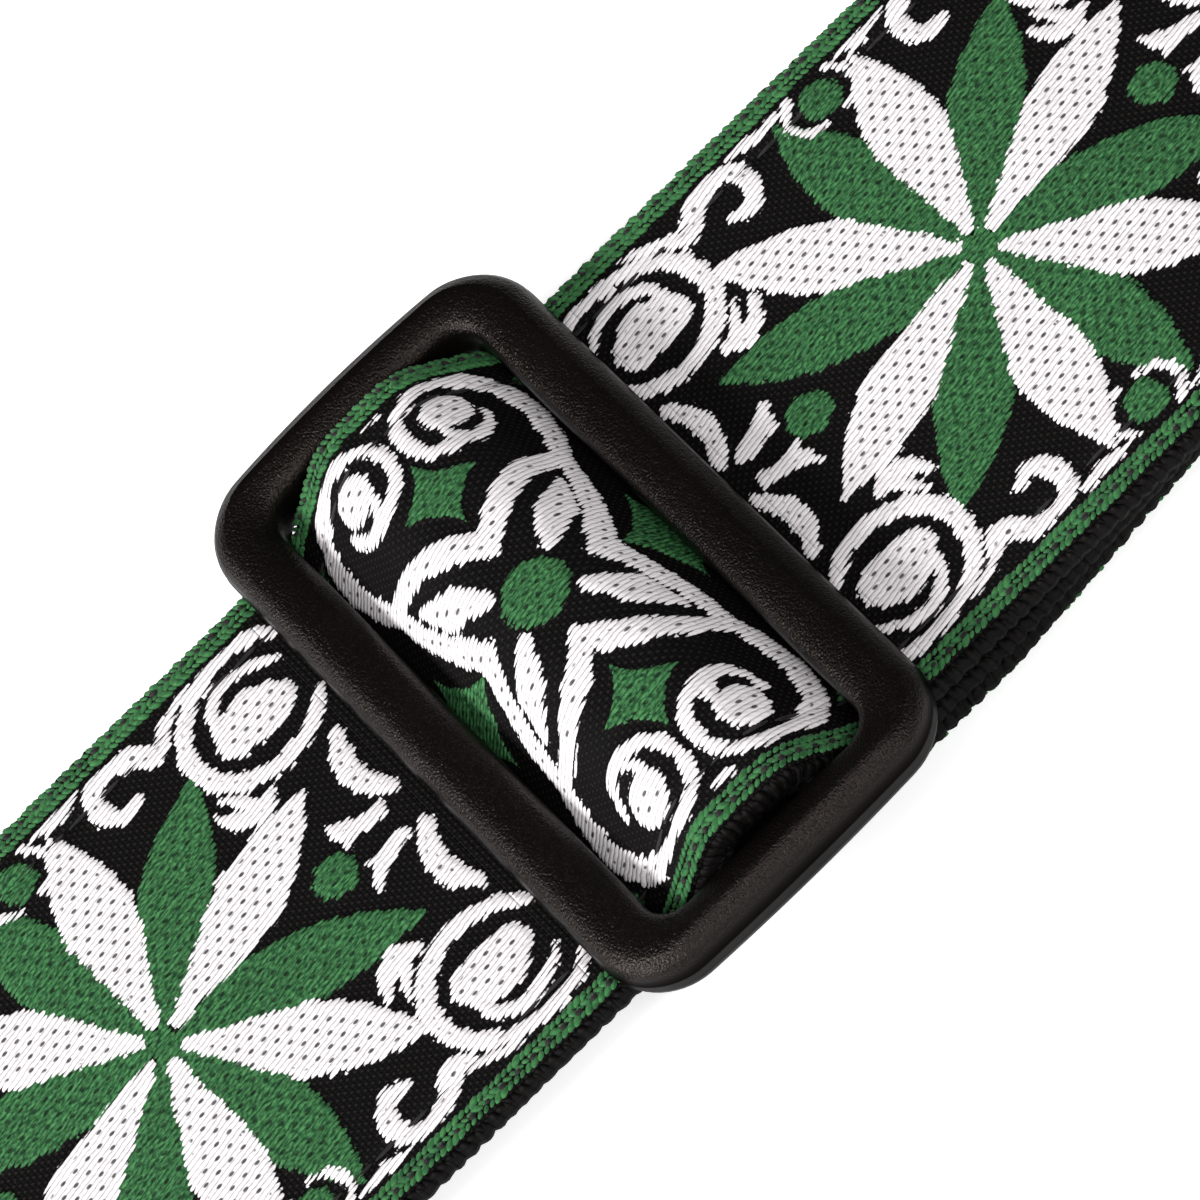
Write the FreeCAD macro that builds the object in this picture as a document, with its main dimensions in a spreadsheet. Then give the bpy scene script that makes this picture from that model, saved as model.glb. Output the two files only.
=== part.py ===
import FreeCAD, Part
import math
import os

# Guitar strap: jacquard ribbon on webbing, a tri-glide slider, a rectangular ring and leather ends.
# Frame: millimetres, +X from end A to end B, +Y across the strap, +Z up, decorative side up.
# Origin: bottom centre of the whole strap's box.

V = FreeCAD.Vector
LEFT, RIGHT = 1, -1

doc = FreeCAD.newDocument("guitar_strap")
sheet = doc.addObject("Spreadsheet::Sheet", "Sizes")

DIMENSIONS = {
    # straps
    "webbing_width": 50.8,
    "webbing_thick": 1.6,
    "ribbon_width": 49.4,
    "ribbon_thick": 0.6,
    "layer_gap": 0.05,
    "feed_bend_radius": 150.0,
    # lengths along the strap
    "leather_length": 105.0,
    "single_length": 450.0,
    "double_length": 430.0,
    "end_b_reach": 38.0,
    "strap_in_leather": 30.0,
    # slider
    "slider_long": 60.0,
    "slider_short": 31.6,
    "window_long": 52.5,
    "window_short": 21.0,
    "slider_height": 4.2,
    "slider_corner": 5.5,
    "window_corner": 2.5,
    "slider_edge_round": 1.5,
    "slider_base_round": 1.1,
    "middle_bar_long": 55.5,
    "middle_bar_width": 6.0,
    "middle_bar_height": 2.6,
    "bar_clearance": 0.1,
    # the strap's way through the slider
    "slider_overhang": 1.2,
    "tail_length": 45.0,
    "over_turn_x": 11.6,
    "over_turn_radius": 2.0,
    "loop_entry_x": 9.1,
    "loop_entry_radius": 5.0,
    "loop_rise_x": -0.1,
    "loop_rise_radius": 4.0,
    "tail_turn_x": 10.2,
    "tail_turn_radius": 3.0,
    # the strap's slopes beside the slider, the ring and the leather
    "feed_slope_start": 140.0,
    "feed_slope_end": 40.0,
    "top_slope_start": 2.0,
    "top_slope_end": 55.0,
    "fold_length": 32.0,
    "fold_rise_radius": 25.0,
    "fold_rise_x": 4.0,
    "drape_radius": 30.0,
    "drape_low_inset": 5.0,
    "drape_high_inset": 7.0,
    "sleeve_exit_radius": 20.0,
    "sleeve_exit_start": 2.0,
    "sleeve_exit_end": 18.0,
    # ring
    "ring_bar": 5.0,
    "ring_pitch": 16.0,
    "ring_span": 58.0,
    "ring_corner": 3.0,
    "ring_clearance": 0.3,
    # leather ends
    "leather_width": 56.0,
    "leather_thick": 2.2,
    "leather_corner": 5.0,
    "sleeve_length": 41.0,
    "flex_gap": 2.0,
    "cover_margin": 1.0,
    "cover_radius": 3.0,
    "landing_radius": 5.2,
    "tip_width": 34.0,
    "button_hole_radius": 4.5,
    "button_hole_inset": 20.0,
    "slit_length": 16.0,
    "slit_width": 1.6,
    # thread
    "thread_width": 0.8,
    "thread_height": 0.4,
    "stitch_length": 2.6,
    "stitch_pitch": 4.0,
    "stitch_inset": 4.0,
    "loop_seam_x": 24.0,
    "loop_seam_inset": 5.0,
    "loop_seam_margin": 0.15,
    # travel left free between the rigid lengths of the strap
    "single_feed": 181.0,
    "double_feed": 81.0,
}


def fill_sheet():
    for row, (alias, size) in enumerate(DIMENSIONS.items(), start=1):
        sheet.set(f"A{row}", alias)
        sheet.set(f"B{row}", str(size))
        sheet.setAlias(f"B{row}", alias)
    doc.recompute()


def size(alias):
    return float(sheet.get(alias))


fill_sheet()

# Layers. Each strap path is the line between webbing and ribbon, with the ribbon on its left.
web = size("webbing_thick")
rib = size("ribbon_thick")
strap = web + rib
pitch = strap + size("layer_gap")
leather = size("leather_thick")

FLAT_UP = web
FLAT_DOWN = rib
SECOND_UP = pitch + web
THIRD_UP = 2 * pitch + web
SLIDER_BASE = 3 * pitch + size("layer_gap")

# Stations along X.
half_length = (
    2 * size("leather_length")
    + size("single_length")
    + size("double_length")
    + size("ring_pitch")
    + size("end_b_reach")
) / 2
leather_a = -half_length + size("leather_length")
leather_b = half_length - size("leather_length")
slider_x = leather_a + size("single_length")
ring_near = slider_x + size("double_length")
ring_far = ring_near + size("ring_pitch")
strap_a_end = leather_a - size("strap_in_leather")
strap_b_end = leather_b + size("strap_in_leather")
bar_edge = size("slider_short") / 2 + size("slider_overhang")
tail_end = slider_x + size("tail_length")
feed_end = slider_x - bar_edge
feed_start = feed_end - size("single_feed")
fold_start = ring_near - size("fold_length")
double_feed_start = fold_start - size("double_feed")

# Wheels are (x, z, radius, side): the path bends round them, towards its LEFT or its RIGHT.
half_bar = size("middle_bar_height") / 2
bar_z = SLIDER_BASE + half_bar
bar_end = size("middle_bar_width") / 2 - half_bar
loop_radius = half_bar + size("bar_clearance") + web
over_radius = loop_radius + rib + size("layer_gap") + web
ring_radius = size("ring_bar") / 2 + size("ring_clearance") + web
ring_z = ring_radius + rib


def ramp(x0, z0, x1, z1, radius):
    """The two wheels that take a level path from height z0 at x0 to height z1 at x1."""
    rise = 1 if z1 > z0 else -1
    side = rise if x1 > x0 else -rise
    return [(x0, z0 + rise * radius, radius, side), (x1, z1 - rise * radius, radius, -side)]


def tangent_path(start, wheels, end):
    """Lines and arcs of a belt from start, round the wheels, to end."""
    stops = [(*start, 0.0, LEFT), *wheels, (*end, 0.0, LEFT)]
    headings = []
    for (x0, z0, r0, s0), (x1, z1, r1, s1) in zip(stops, stops[1:]):
        reach = math.hypot(x1 - x0, z1 - z0)
        turn = math.asin((s1 * r1 - s0 * r0) / reach)
        headings.append(math.atan2(z1 - z0, x1 - x0) - turn)
    return stops, headings


def offset_point(stop, heading, offset):
    """The point, offset to the left of the path, where a straight with this heading meets a stop."""
    x, z, radius, side = stop
    reach = offset - side * radius
    return V(x - math.sin(heading) * reach, z + math.cos(heading) * reach, 0)


def offset_edges(path, offset):
    """Edges of the path, moved to its left by the offset."""
    stops, headings = path
    edges = []
    here = offset_point(stops[0], headings[0], offset)
    for index, heading in enumerate(headings):
        there = offset_point(stops[index + 1], heading, offset)
        if here.distanceToPoint(there) > 1e-4:
            edges.append(Part.LineSegment(here, there))
            here = there
        if index + 1 == len(headings):
            break
        stop, next_heading = stops[index + 1], headings[index + 1]
        swing = (next_heading - heading) % (2 * math.pi)
        if stop[3] == RIGHT:
            swing -= 2 * math.pi
        if abs(swing) > math.pi * 1.9:
            continue
        middle = offset_point(stop, heading + swing / 2, offset)
        after = offset_point(stop, next_heading, offset)
        edges.append(Part.Arc(here, middle, after))
        here = after
    return edges, here


def band_outline(path, low, high):
    """Closed outline between two offsets of a path."""
    first, first_end = offset_edges(path, low)
    second, second_end = offset_edges(path, high)
    first_start = offset_point(path[0][0], path[1][0], low)
    second_start = offset_point(path[0][0], path[1][0], high)
    caps = [Part.LineSegment(first_end, second_end), Part.LineSegment(second_start, first_start)]
    return first + second + caps


def new_body(label):
    body = doc.addObject("PartDesign::Body", label)
    body.Label = label
    return body


def sketch_on(body, role, name, outline, lift=None):
    """A sketch on one of the body's origin planes."""
    sketch = body.newObject("Sketcher::SketchObject", f"{body.Label}_{name}")
    plane = next(f for f in body.Origin.OriginFeatures if f.Role == role)
    sketch.AttachmentSupport = [(plane, "")]
    sketch.MapMode = "FlatFace"
    if lift is not None:
        sketch.AttachmentOffset = FreeCAD.Placement(V(0, 0, lift), FreeCAD.Rotation())
    sketch.addGeometry(outline, False)
    return sketch


def pad(body, sketch, length, symmetric=False):
    feature = body.newObject("PartDesign::Pad", f"{sketch.Label}_pad")
    feature.Profile = sketch
    feature.SideType = "Symmetric" if symmetric else "One side"
    feature.setExpression("Length", f"Sizes.{length}")
    return feature


def cut_through(body, sketch):
    """A pocket through the body, both ways from its sketch."""
    feature = body.newObject("PartDesign::Pocket", f"{sketch.Label}_cut")
    feature.Profile = sketch
    feature.Type = "ThroughAll"
    feature.SideType = "Symmetric"
    return feature


def fillet(body, base, radius, wanted):
    """Round the edges of the base feature that the wanted test picks."""
    doc.recompute()
    names = [f"Edge{i}" for i, edge in enumerate(base.Shape.Edges, start=1) if wanted(edge)]
    feature = body.newObject("PartDesign::Fillet", f"{body.Label}_{radius}")
    feature.Base = (base, names)
    feature.setExpression("Radius", f"Sizes.{radius}")
    return feature


def band(label, path, low, high, width):
    """A layer between two offsets of a path, padded across the strap."""
    body = new_body(label)
    side = sketch_on(body, "XZ_Plane", "side", band_outline(path, low, high))
    pad(body, side, width, symmetric=True)
    return body


def rounded_rectangle(long_y, short_x, radius, centre_x):
    """Outline in the XY plane, centred on (centre_x, 0)."""
    x, y = short_x / 2 - radius, long_y / 2 - radius
    edges = []
    for quarter, (sx, sy) in enumerate([(1, 1), (-1, 1), (-1, -1), (1, -1)]):
        turn = quarter * math.pi / 2
        centre = V(centre_x + sx * x, sy * y, 0)
        circle = Part.Circle(centre, V(0, 0, 1), radius)
        edges.append(Part.ArcOfCircle(circle, turn, turn + math.pi / 2))
    joins = []
    for arc, following in zip(edges, edges[1:] + edges[:1]):
        joins.append(Part.LineSegment(arc.EndPoint, following.StartPoint))
    return edges + joins


def loop_outline(points):
    """Closed outline of straight edges."""
    return [Part.LineSegment(a, b) for a, b in zip(points, points[1:] + points[:1])]


def strap_paths():
    """Path of each length of the main strap and of end B's strap."""
    x = slider_x
    bend = size("feed_bend_radius")
    paths = {}
    paths["single_run"] = tangent_path(
        (strap_a_end, leather + web),
        ramp(
            leather_a + size("sleeve_exit_start"),
            leather + web,
            leather_a + size("sleeve_exit_end"),
            FLAT_UP,
            size("sleeve_exit_radius"),
        ),
        (feed_start, FLAT_UP),
    )
    paths["single_feed"] = tangent_path(
        (feed_start, FLAT_UP),
        ramp(
            x - size("feed_slope_start"), FLAT_UP, x - size("feed_slope_end"), THIRD_UP, bend
        ),
        (feed_end, THIRD_UP),
    )
    turn_x, turn_radius = size("over_turn_x"), size("over_turn_radius")
    paths["over_bar"] = tangent_path(
        (feed_end, THIRD_UP),
        [
            (x - turn_x, THIRD_UP + turn_radius, turn_radius, LEFT),
            (x - bar_end, bar_z, over_radius, RIGHT),
            (x + bar_end, bar_z, over_radius, RIGHT),
            (x + turn_x, THIRD_UP + turn_radius, turn_radius, LEFT),
        ],
        (x + bar_edge, THIRD_UP),
    )
    paths["top_run"] = tangent_path(
        (x + bar_edge, THIRD_UP),
        ramp(
            tail_end + size("top_slope_start"),
            THIRD_UP,
            tail_end + size("top_slope_end"),
            SECOND_UP,
            bend,
        ),
        (double_feed_start, SECOND_UP),
    )
    paths["top_feed"] = tangent_path(
        (double_feed_start, SECOND_UP), [], (fold_start, SECOND_UP)
    )
    rise_radius = size("fold_rise_radius")
    paths["ring_fold"] = tangent_path(
        (fold_start, SECOND_UP),
        [
            (fold_start + size("fold_rise_x"), SECOND_UP + rise_radius, rise_radius, LEFT),
            (ring_near, ring_z, ring_radius, RIGHT),
        ],
        (fold_start, FLAT_DOWN),
    )
    paths["return_feed"] = tangent_path(
        (fold_start, FLAT_DOWN), [], (double_feed_start, FLAT_DOWN)
    )
    paths["return_run"] = tangent_path(
        (double_feed_start, FLAT_DOWN), [], (x + bar_edge, FLAT_DOWN)
    )
    under_bar = SLIDER_BASE - size("bar_clearance") - web
    entry_radius, rise_radius = size("loop_entry_radius"), size("loop_rise_radius")
    tail_radius = size("tail_turn_radius")
    paths["bar_loop"] = tangent_path(
        (x + bar_edge, FLAT_DOWN),
        [
            (x + size("loop_entry_x"), FLAT_DOWN + entry_radius, entry_radius, RIGHT),
            (x + size("loop_rise_x"), under_bar - rise_radius, rise_radius, LEFT),
            (x - bar_end, bar_z, loop_radius, RIGHT),
            (x + bar_end, bar_z, loop_radius, RIGHT),
            (x + size("tail_turn_x"), SECOND_UP + tail_radius, tail_radius, LEFT),
        ],
        (tail_end, SECOND_UP),
    )
    drape = size("drape_radius")
    paths["end_b"] = tangent_path(
        (strap_b_end, leather + rib),
        [
            (leather_b - size("drape_low_inset"), leather + rib - drape, drape, LEFT),
            (ring_far, ring_z, ring_radius, RIGHT),
            (leather_b - size("drape_high_inset"), leather + strap + web + drape, drape, LEFT),
        ],
        (strap_b_end, leather + strap + web),
    )
    return paths


def make_straps():
    nodes = []
    for name, path in strap_paths().items():
        nodes.append(band(f"webbing_{name}", path, -web, 0.0, "webbing_width"))
        nodes.append(band(f"ribbon_{name}", path, 0.0, rib, "ribbon_width"))
    return nodes


def make_slider():
    """Moulded frame with a window, and a rounded middle bar across the window."""
    body = new_body("slider")
    outer = rounded_rectangle(
        size("slider_long"), size("slider_short"), size("slider_corner"), slider_x
    )
    window = rounded_rectangle(
        size("window_long"), size("window_short"), size("window_corner"), slider_x
    )
    plan = sketch_on(body, "XY_Plane", "plan", outer + window, lift=SLIDER_BASE)
    frame = pad(body, plan, "slider_height")
    top = SLIDER_BASE + size("slider_height")

    def lies_at(edge, height):
        return all(abs(vertex.Z - height) < 1e-6 for vertex in edge.Vertexes)

    crown = fillet(body, frame, "slider_edge_round", lambda edge: lies_at(edge, top))
    base = fillet(body, crown, "slider_base_round", lambda edge: lies_at(edge, SLIDER_BASE))
    body.Tip = base
    left, right = slider_x - bar_end, slider_x + bar_end
    low, high = bar_z - half_bar, bar_z + half_bar
    section = [
        Part.LineSegment(V(left, low, 0), V(right, low, 0)),
        Part.Arc(V(right, low, 0), V(right + half_bar, bar_z, 0), V(right, high, 0)),
        Part.LineSegment(V(right, high, 0), V(left, high, 0)),
        Part.Arc(V(left, high, 0), V(left - half_bar, bar_z, 0), V(left, low, 0)),
    ]
    pad(body, sketch_on(body, "XZ_Plane", "bar", section), "middle_bar_long", symmetric=True)
    return body


def make_ring():
    """Round bar bent to a rectangle, lying level."""
    body = new_body("ring")
    middle = (ring_near + ring_far) / 2
    outline = rounded_rectangle(
        size("ring_span"), size("ring_pitch"), size("ring_corner"), middle
    )
    spine = sketch_on(body, "XY_Plane", "spine", outline, lift=ring_z)
    circle = Part.Circle(V(ring_far, ring_z, 0), V(0, 0, 1), size("ring_bar") / 2)
    section = sketch_on(body, "XZ_Plane", "section", [circle])
    doc.recompute()
    pipe = body.newObject("PartDesign::AdditivePipe", "ring_pipe")
    pipe.Profile = section
    pipe.Spine = (spine, [f"Edge{i + 1}" for i in range(len(spine.Shape.Edges))])
    pipe.Transition = "Transformed"
    return body


def slab(label, outline, lift):
    """A leather layer with a level underside."""
    body = new_body(label)
    pad(body, sketch_on(body, "XY_Plane", "plan", outline, lift=lift), "leather_thick")
    return body


def make_leather_end(name, out, opening, under_strap):
    """Both leather layers of one end.

    out is -1 at end A and +1 at end B, opening is the X of the leather's open edge, and
    under_strap is the height of the front layer's underside where it covers the strap.
    """
    wide = size("leather_width") / 2
    flex_in = opening + out * size("sleeve_length")
    flex_out = flex_in + out * size("flex_gap")
    tip = opening + out * size("leather_length")
    sleeve = loop_outline(
        [V(opening, -wide, 0), V(flex_in, -wide, 0), V(flex_in, wide, 0), V(opening, wide, 0)]
    )
    nodes = [slab(f"{name}_sleeve_back", sleeve, 0.0)]

    cover_end = opening + out * (size("strap_in_leather") + size("cover_margin"))
    step_end = flex_in - out * size("cover_margin")
    cover_radius, landing_radius = size("cover_radius"), size("landing_radius")
    cover = (cover_end, under_strap - cover_radius, cover_radius, RIGHT)
    landing = (step_end, leather + landing_radius, landing_radius, LEFT)
    if out > 0:
        path = tangent_path((opening, under_strap), [cover, landing], (flex_in, leather))
    else:
        path = tangent_path((flex_in, leather), [landing, cover], (opening, under_strap))
    nodes.append(band(f"{name}_sleeve_front", path, 0.0, leather, "leather_width"))

    flex = new_body(f"{name}_flex")
    strip = loop_outline(
        [V(flex_in, -wide, 0), V(flex_out, -wide, 0), V(flex_out, wide, 0), V(flex_in, wide, 0)]
    )
    flex_pad = pad(flex, sketch_on(flex, "XY_Plane", "plan", strip), "leather_thick")
    flex_pad.setExpression("Length", "2 * Sizes.leather_thick")
    nodes.append(flex)

    round_tip = size("tip_width") / 2
    centre = tip - out * round_tip
    outline = [
        Part.LineSegment(V(flex_out, -wide, 0), V(flex_out, wide, 0)),
        Part.LineSegment(V(flex_out, wide, 0), V(centre, round_tip, 0)),
        Part.Arc(V(centre, round_tip, 0), V(tip, 0, 0), V(centre, -round_tip, 0)),
        Part.LineSegment(V(centre, -round_tip, 0), V(flex_out, -wide, 0)),
    ]
    hole_x = tip - out * size("button_hole_inset")
    slit_x = hole_x - out * size("slit_length")
    narrow = size("slit_width") / 2
    for layer, lift in (("back", 0.0), ("front", leather)):
        body = slab(f"{name}_tab_{layer}", outline, lift)
        circle = Part.Circle(V(hole_x, 0, 0), V(0, 0, 1), size("button_hole_radius"))
        hole = sketch_on(body, "XY_Plane", "hole", [circle], lift=lift)
        cut_through(body, hole)
        slit = loop_outline(
            [V(hole_x, -narrow, 0), V(slit_x, -narrow, 0), V(slit_x, narrow, 0), V(hole_x, narrow, 0)]
        )
        cut_through(body, sketch_on(body, "XY_Plane", "slit", slit, lift=lift))
        nodes.append(body)
    nodes.append(leather_stitches(name, out, opening, under_strap + leather))
    return nodes


def compound(label, solids):
    """Many small solids of one kind, held as one node."""
    feature = doc.addObject("Part::Feature", label)
    feature.Shape = Part.makeCompound(solids)
    feature.Label = label
    feature.Placement = FreeCAD.Placement()
    return feature


def leather_stitches(name, out, opening, top):
    """Two rows of stitches across the sleeve and one along each side."""
    length, width, height = size("stitch_length"), size("thread_width"), size("thread_height")
    edge = size("stitch_inset")
    side_y = size("leather_width") / 2 - edge
    solids = []
    steps = int(2 * side_y / size("stitch_pitch"))
    for inset in (edge, size("strap_in_leather") - edge):
        x = opening + out * inset
        for step in range(steps):
            y = -side_y + (step + 0.5) * 2 * side_y / steps
            corner = V(x - width / 2, y - length / 2, top)
            solids.append(Part.makeBox(width, length, height, corner))
    run = size("strap_in_leather") - 2 * edge
    steps = int(run / size("stitch_pitch"))
    for y in (-side_y, side_y):
        for step in range(steps):
            x = opening + out * (edge + (step + 0.5) * run / steps)
            corner = V(x - length / 2, y - width / 2, top)
            solids.append(Part.makeBox(length, width, height, corner))
    return compound(f"{name}_stitching", solids)


def loop_stitches():
    """Thread through the tail and the return run, in two rows across the strap."""
    radius = size("thread_width") / 2
    solids = []
    side_y = size("ribbon_width") / 2 - size("stitch_inset")
    steps = int(2 * side_y / size("stitch_pitch"))
    low = size("loop_seam_margin")
    for x in (slider_x + size("loop_seam_x"), tail_end - size("loop_seam_inset")):
        for step in range(steps + 1):
            y = -side_y + step * 2 * side_y / steps
            solids.append(Part.makeCylinder(radius, 2 * (pitch - low), V(x, y, low)))
    return compound("bar_loop_stitching", solids)


def check(nodes):
    """Stop if any object failed or any sub-part's shape is null or not valid."""
    doc.recompute()
    for item in doc.Objects:
        if {"Invalid", "Error"} & set(item.State):
            raise RuntimeError(f"{item.Label} failed: {item.State}")
    for node in nodes:
        if node.Shape.isNull() or not node.Shape.isValid() or node.Shape.Volume <= 0:
            raise RuntimeError(f"{node.Label} has no valid shape")


def export(nodes):
    os.makedirs("parts", exist_ok=True)
    for node in nodes:
        node.Shape.exportStep(os.path.join("parts", f"{node.Label}.step"))


nodes = make_straps()
nodes.append(make_slider())
nodes.append(make_ring())
nodes += make_leather_end("end_a", -1, leather_a, leather + strap)
nodes += make_leather_end("end_b", 1, leather_b, leather + 2 * strap)
nodes.append(loop_stitches())
check(nodes)
export(nodes)
for node in nodes:
    box = node.Shape.BoundBox
    print(
        f"{node.Label}: x {box.XMin:.1f}..{box.XMax:.1f} y {box.YMin:.1f}..{box.YMax:.1f} "
        f"z {box.ZMin:.2f}..{box.ZMax:.2f} volume {node.Shape.Volume:.0f}"
    )
print(f"slider centre x {slider_x:.2f}, ring bars x {ring_near:.2f} and {ring_far:.2f}")
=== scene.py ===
"""Guitar strap: jacquard ribbon on webbing, a tri-glide slider, a rectangular ring and leather ends."""

import logging
import math
from dataclasses import dataclass
from enum import Enum
from typing import Callable, Sequence

import bpy
import numpy as np
from mathutils import Matrix, Vector


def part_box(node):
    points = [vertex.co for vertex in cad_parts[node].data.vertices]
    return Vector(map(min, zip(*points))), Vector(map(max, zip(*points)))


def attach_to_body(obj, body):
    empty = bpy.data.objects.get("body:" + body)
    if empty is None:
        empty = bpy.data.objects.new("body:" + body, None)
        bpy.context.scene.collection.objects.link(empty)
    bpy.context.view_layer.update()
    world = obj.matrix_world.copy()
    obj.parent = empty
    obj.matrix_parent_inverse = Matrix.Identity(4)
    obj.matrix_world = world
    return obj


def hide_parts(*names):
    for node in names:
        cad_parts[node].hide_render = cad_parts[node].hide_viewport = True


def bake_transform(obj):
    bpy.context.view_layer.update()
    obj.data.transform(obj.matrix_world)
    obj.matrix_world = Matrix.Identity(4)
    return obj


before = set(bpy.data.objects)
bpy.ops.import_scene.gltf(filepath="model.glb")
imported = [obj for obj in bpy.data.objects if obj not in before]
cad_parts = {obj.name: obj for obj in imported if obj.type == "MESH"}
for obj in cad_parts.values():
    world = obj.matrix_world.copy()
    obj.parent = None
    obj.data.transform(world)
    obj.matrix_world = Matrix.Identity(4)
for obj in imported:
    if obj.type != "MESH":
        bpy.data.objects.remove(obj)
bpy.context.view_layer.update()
LOG = logging.getLogger("guitar_strap")
MM = 0.001
LEFT, RIGHT = 1, -1


class Yarn(Enum):
    """The colours that float over the ribbon's black ground, named as their mesh attributes."""

    WHITE = "white"
    GREEN = "green"


# ---------------------------------------------------------------- sizes


@dataclass(frozen=True)
class StrapSizes:
    """Sizes of the strap's layers, in millimetres."""

    webbing_width: float = 50.8
    webbing_thick: float = 1.6
    ribbon_width: float = 49.4
    ribbon_thick: float = 0.6
    gap: float = 0.05
    yarns: int = 105
    fine_yarns: int = 158
    repeat: float = 92.0
    stitch_inset: float = 4.0
    selvedge: float = 1.9
    slip: float = 1.5
    slip_from: float = 13.0
    slip_over: float = 8.0
    bar_reach: float = 3.0
    bar_radius: float = 1.3

    @property
    def thick(self) -> float:
        """Thickness of webbing and ribbon together."""
        return self.webbing_thick + self.ribbon_thick

    @property
    def pitch(self) -> float:
        """Height from one strap layer to the next."""
        return self.thick + self.gap


@dataclass(frozen=True)
class Stations:
    """Places along the strap and heights in the slider, in millimetres, read from the frame."""

    leather_a: float
    leather_b: float
    end_a: float
    end_b: float
    tip_a: float
    tip_b: float
    slider: float
    slider_base: float
    ring_near: float
    ring_far: float
    ring_z: float
    bar_edge: float
    tail_end: float
    fold_start: float
    leather: float

    @classmethod
    def from_frame(cls) -> "Stations":
        """Read every station from the boxes of the CAD nodes."""

        def low(node: str) -> Vector:
            return Vector(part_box(node)[0]) / MM

        def high(node: str) -> Vector:
            return Vector(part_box(node)[1]) / MM

        slider = (low("slider").x + high("slider").x) / 2
        bar = (high("ring").z - low("ring").z) / 2
        return cls(
            leather_a=high("end_a_sleeve_back").x,
            leather_b=low("end_b_sleeve_back").x,
            end_a=low("webbing_single_run").x,
            end_b=high("webbing_end_b").x,
            tip_a=low("end_a_tab_back").x,
            tip_b=high("end_b_tab_back").x,
            slider=slider,
            slider_base=low("slider").z,
            ring_near=low("ring").x + bar,
            ring_far=high("ring").x - bar,
            ring_z=(low("ring").z + high("ring").z) / 2,
            bar_edge=high("webbing_over_bar").x - slider,
            tail_end=high("webbing_bar_loop").x,
            fold_start=low("webbing_ring_fold").x,
            leather=high("end_a_sleeve_back").z,
        )


# ---------------------------------------------------------------- paths


@dataclass(frozen=True)
class Wheel:
    """A circle that a strap's path bends round, in the XZ plane."""

    x: float
    z: float
    radius: float
    side: int


def ramp(x0: float, z0: float, x1: float, z1: float, radius: float) -> list[Wheel]:
    """The two wheels that take a level path from height z0 at x0 to height z1 at x1."""
    rise = 1 if z1 > z0 else -1
    side = rise if x1 > x0 else -rise
    return [Wheel(x0, z0 + rise * radius, radius, side), Wheel(x1, z1 - rise * radius, radius, -side)]


class BeltPath:
    """Lines and arcs from a start, round wheels, to an end, measured along its length."""

    def __init__(
        self,
        start: tuple[float, float],
        wheels: Sequence[Wheel],
        end: tuple[float, float],
        origin: float = 0.0,
    ) -> None:
        """Lay the belt.

        Args:
            start: X and Z of the first point, in millimetres.
            wheels: the circles, in order.
            end: X and Z of the last point.
            origin: fabric length at the first point.
        """
        stops = [Wheel(*start, 0.0, LEFT), *wheels, Wheel(*end, 0.0, LEFT)]
        headings = []
        for a, b in zip(stops, stops[1:]):
            reach = math.hypot(b.x - a.x, b.z - a.z)
            turn = math.asin((b.side * b.radius - a.side * a.radius) / reach)
            headings.append(math.atan2(b.z - a.z, b.x - a.x) - turn)
        self.parts: list[tuple[float, float, float, float, float, float]] = []
        self.start = origin
        here = origin
        for index, heading in enumerate(headings):
            p0 = self._touch(stops[index], heading)
            p1 = self._touch(stops[index + 1], heading)
            length = math.hypot(p1[0] - p0[0], p1[1] - p0[1])
            if length > 1e-6:
                self.parts.append((here, length, p0[0], p0[1], heading, 0.0))
                here += length
            if index + 1 < len(headings):
                stop = stops[index + 1]
                swing = (headings[index + 1] - heading) % (2 * math.pi)
                swing = swing - 2 * math.pi if stop.side == RIGHT else swing
                if abs(swing) < 1.9 * math.pi and abs(swing) > 1e-9:
                    length = abs(swing) * stop.radius
                    curve = stop.side / stop.radius
                    self.parts.append((here, length, p1[0], p1[1], heading, curve))
                    here += length
        self.end = here

    @staticmethod
    def _touch(stop: Wheel, heading: float) -> tuple[float, float]:
        """Where a straight with this heading touches a wheel."""
        reach = -stop.side * stop.radius
        return stop.x - math.sin(heading) * reach, stop.z + math.cos(heading) * reach

    def sample(self, along: np.ndarray) -> tuple[np.ndarray, np.ndarray, np.ndarray]:
        """X, Z and heading at fabric lengths.

        Args:
            along: fabric lengths in millimetres.

        Returns:
            Arrays of X, Z and heading.
        """
        starts = np.array([part[0] for part in self.parts])
        index = np.clip(np.searchsorted(starts, along, side="right") - 1, 0, len(starts) - 1)
        table = np.array(self.parts)[index]
        run = along - table[:, 0]
        heading, curve = table[:, 4], table[:, 5]
        bent = np.abs(curve) > 1e-12
        safe = np.where(bent, curve, 1.0)
        after = heading + curve * run
        dx = np.where(bent, (np.sin(after) - np.sin(heading)) / safe, run * np.cos(heading))
        dz = np.where(bent, (np.cos(heading) - np.cos(after)) / safe, run * np.sin(heading))
        return table[:, 2] + dx, table[:, 3] + dz, after


# ---------------------------------------------------------------- the weave's design

FAR = 99.0
DEEPEST = 1.5


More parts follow.
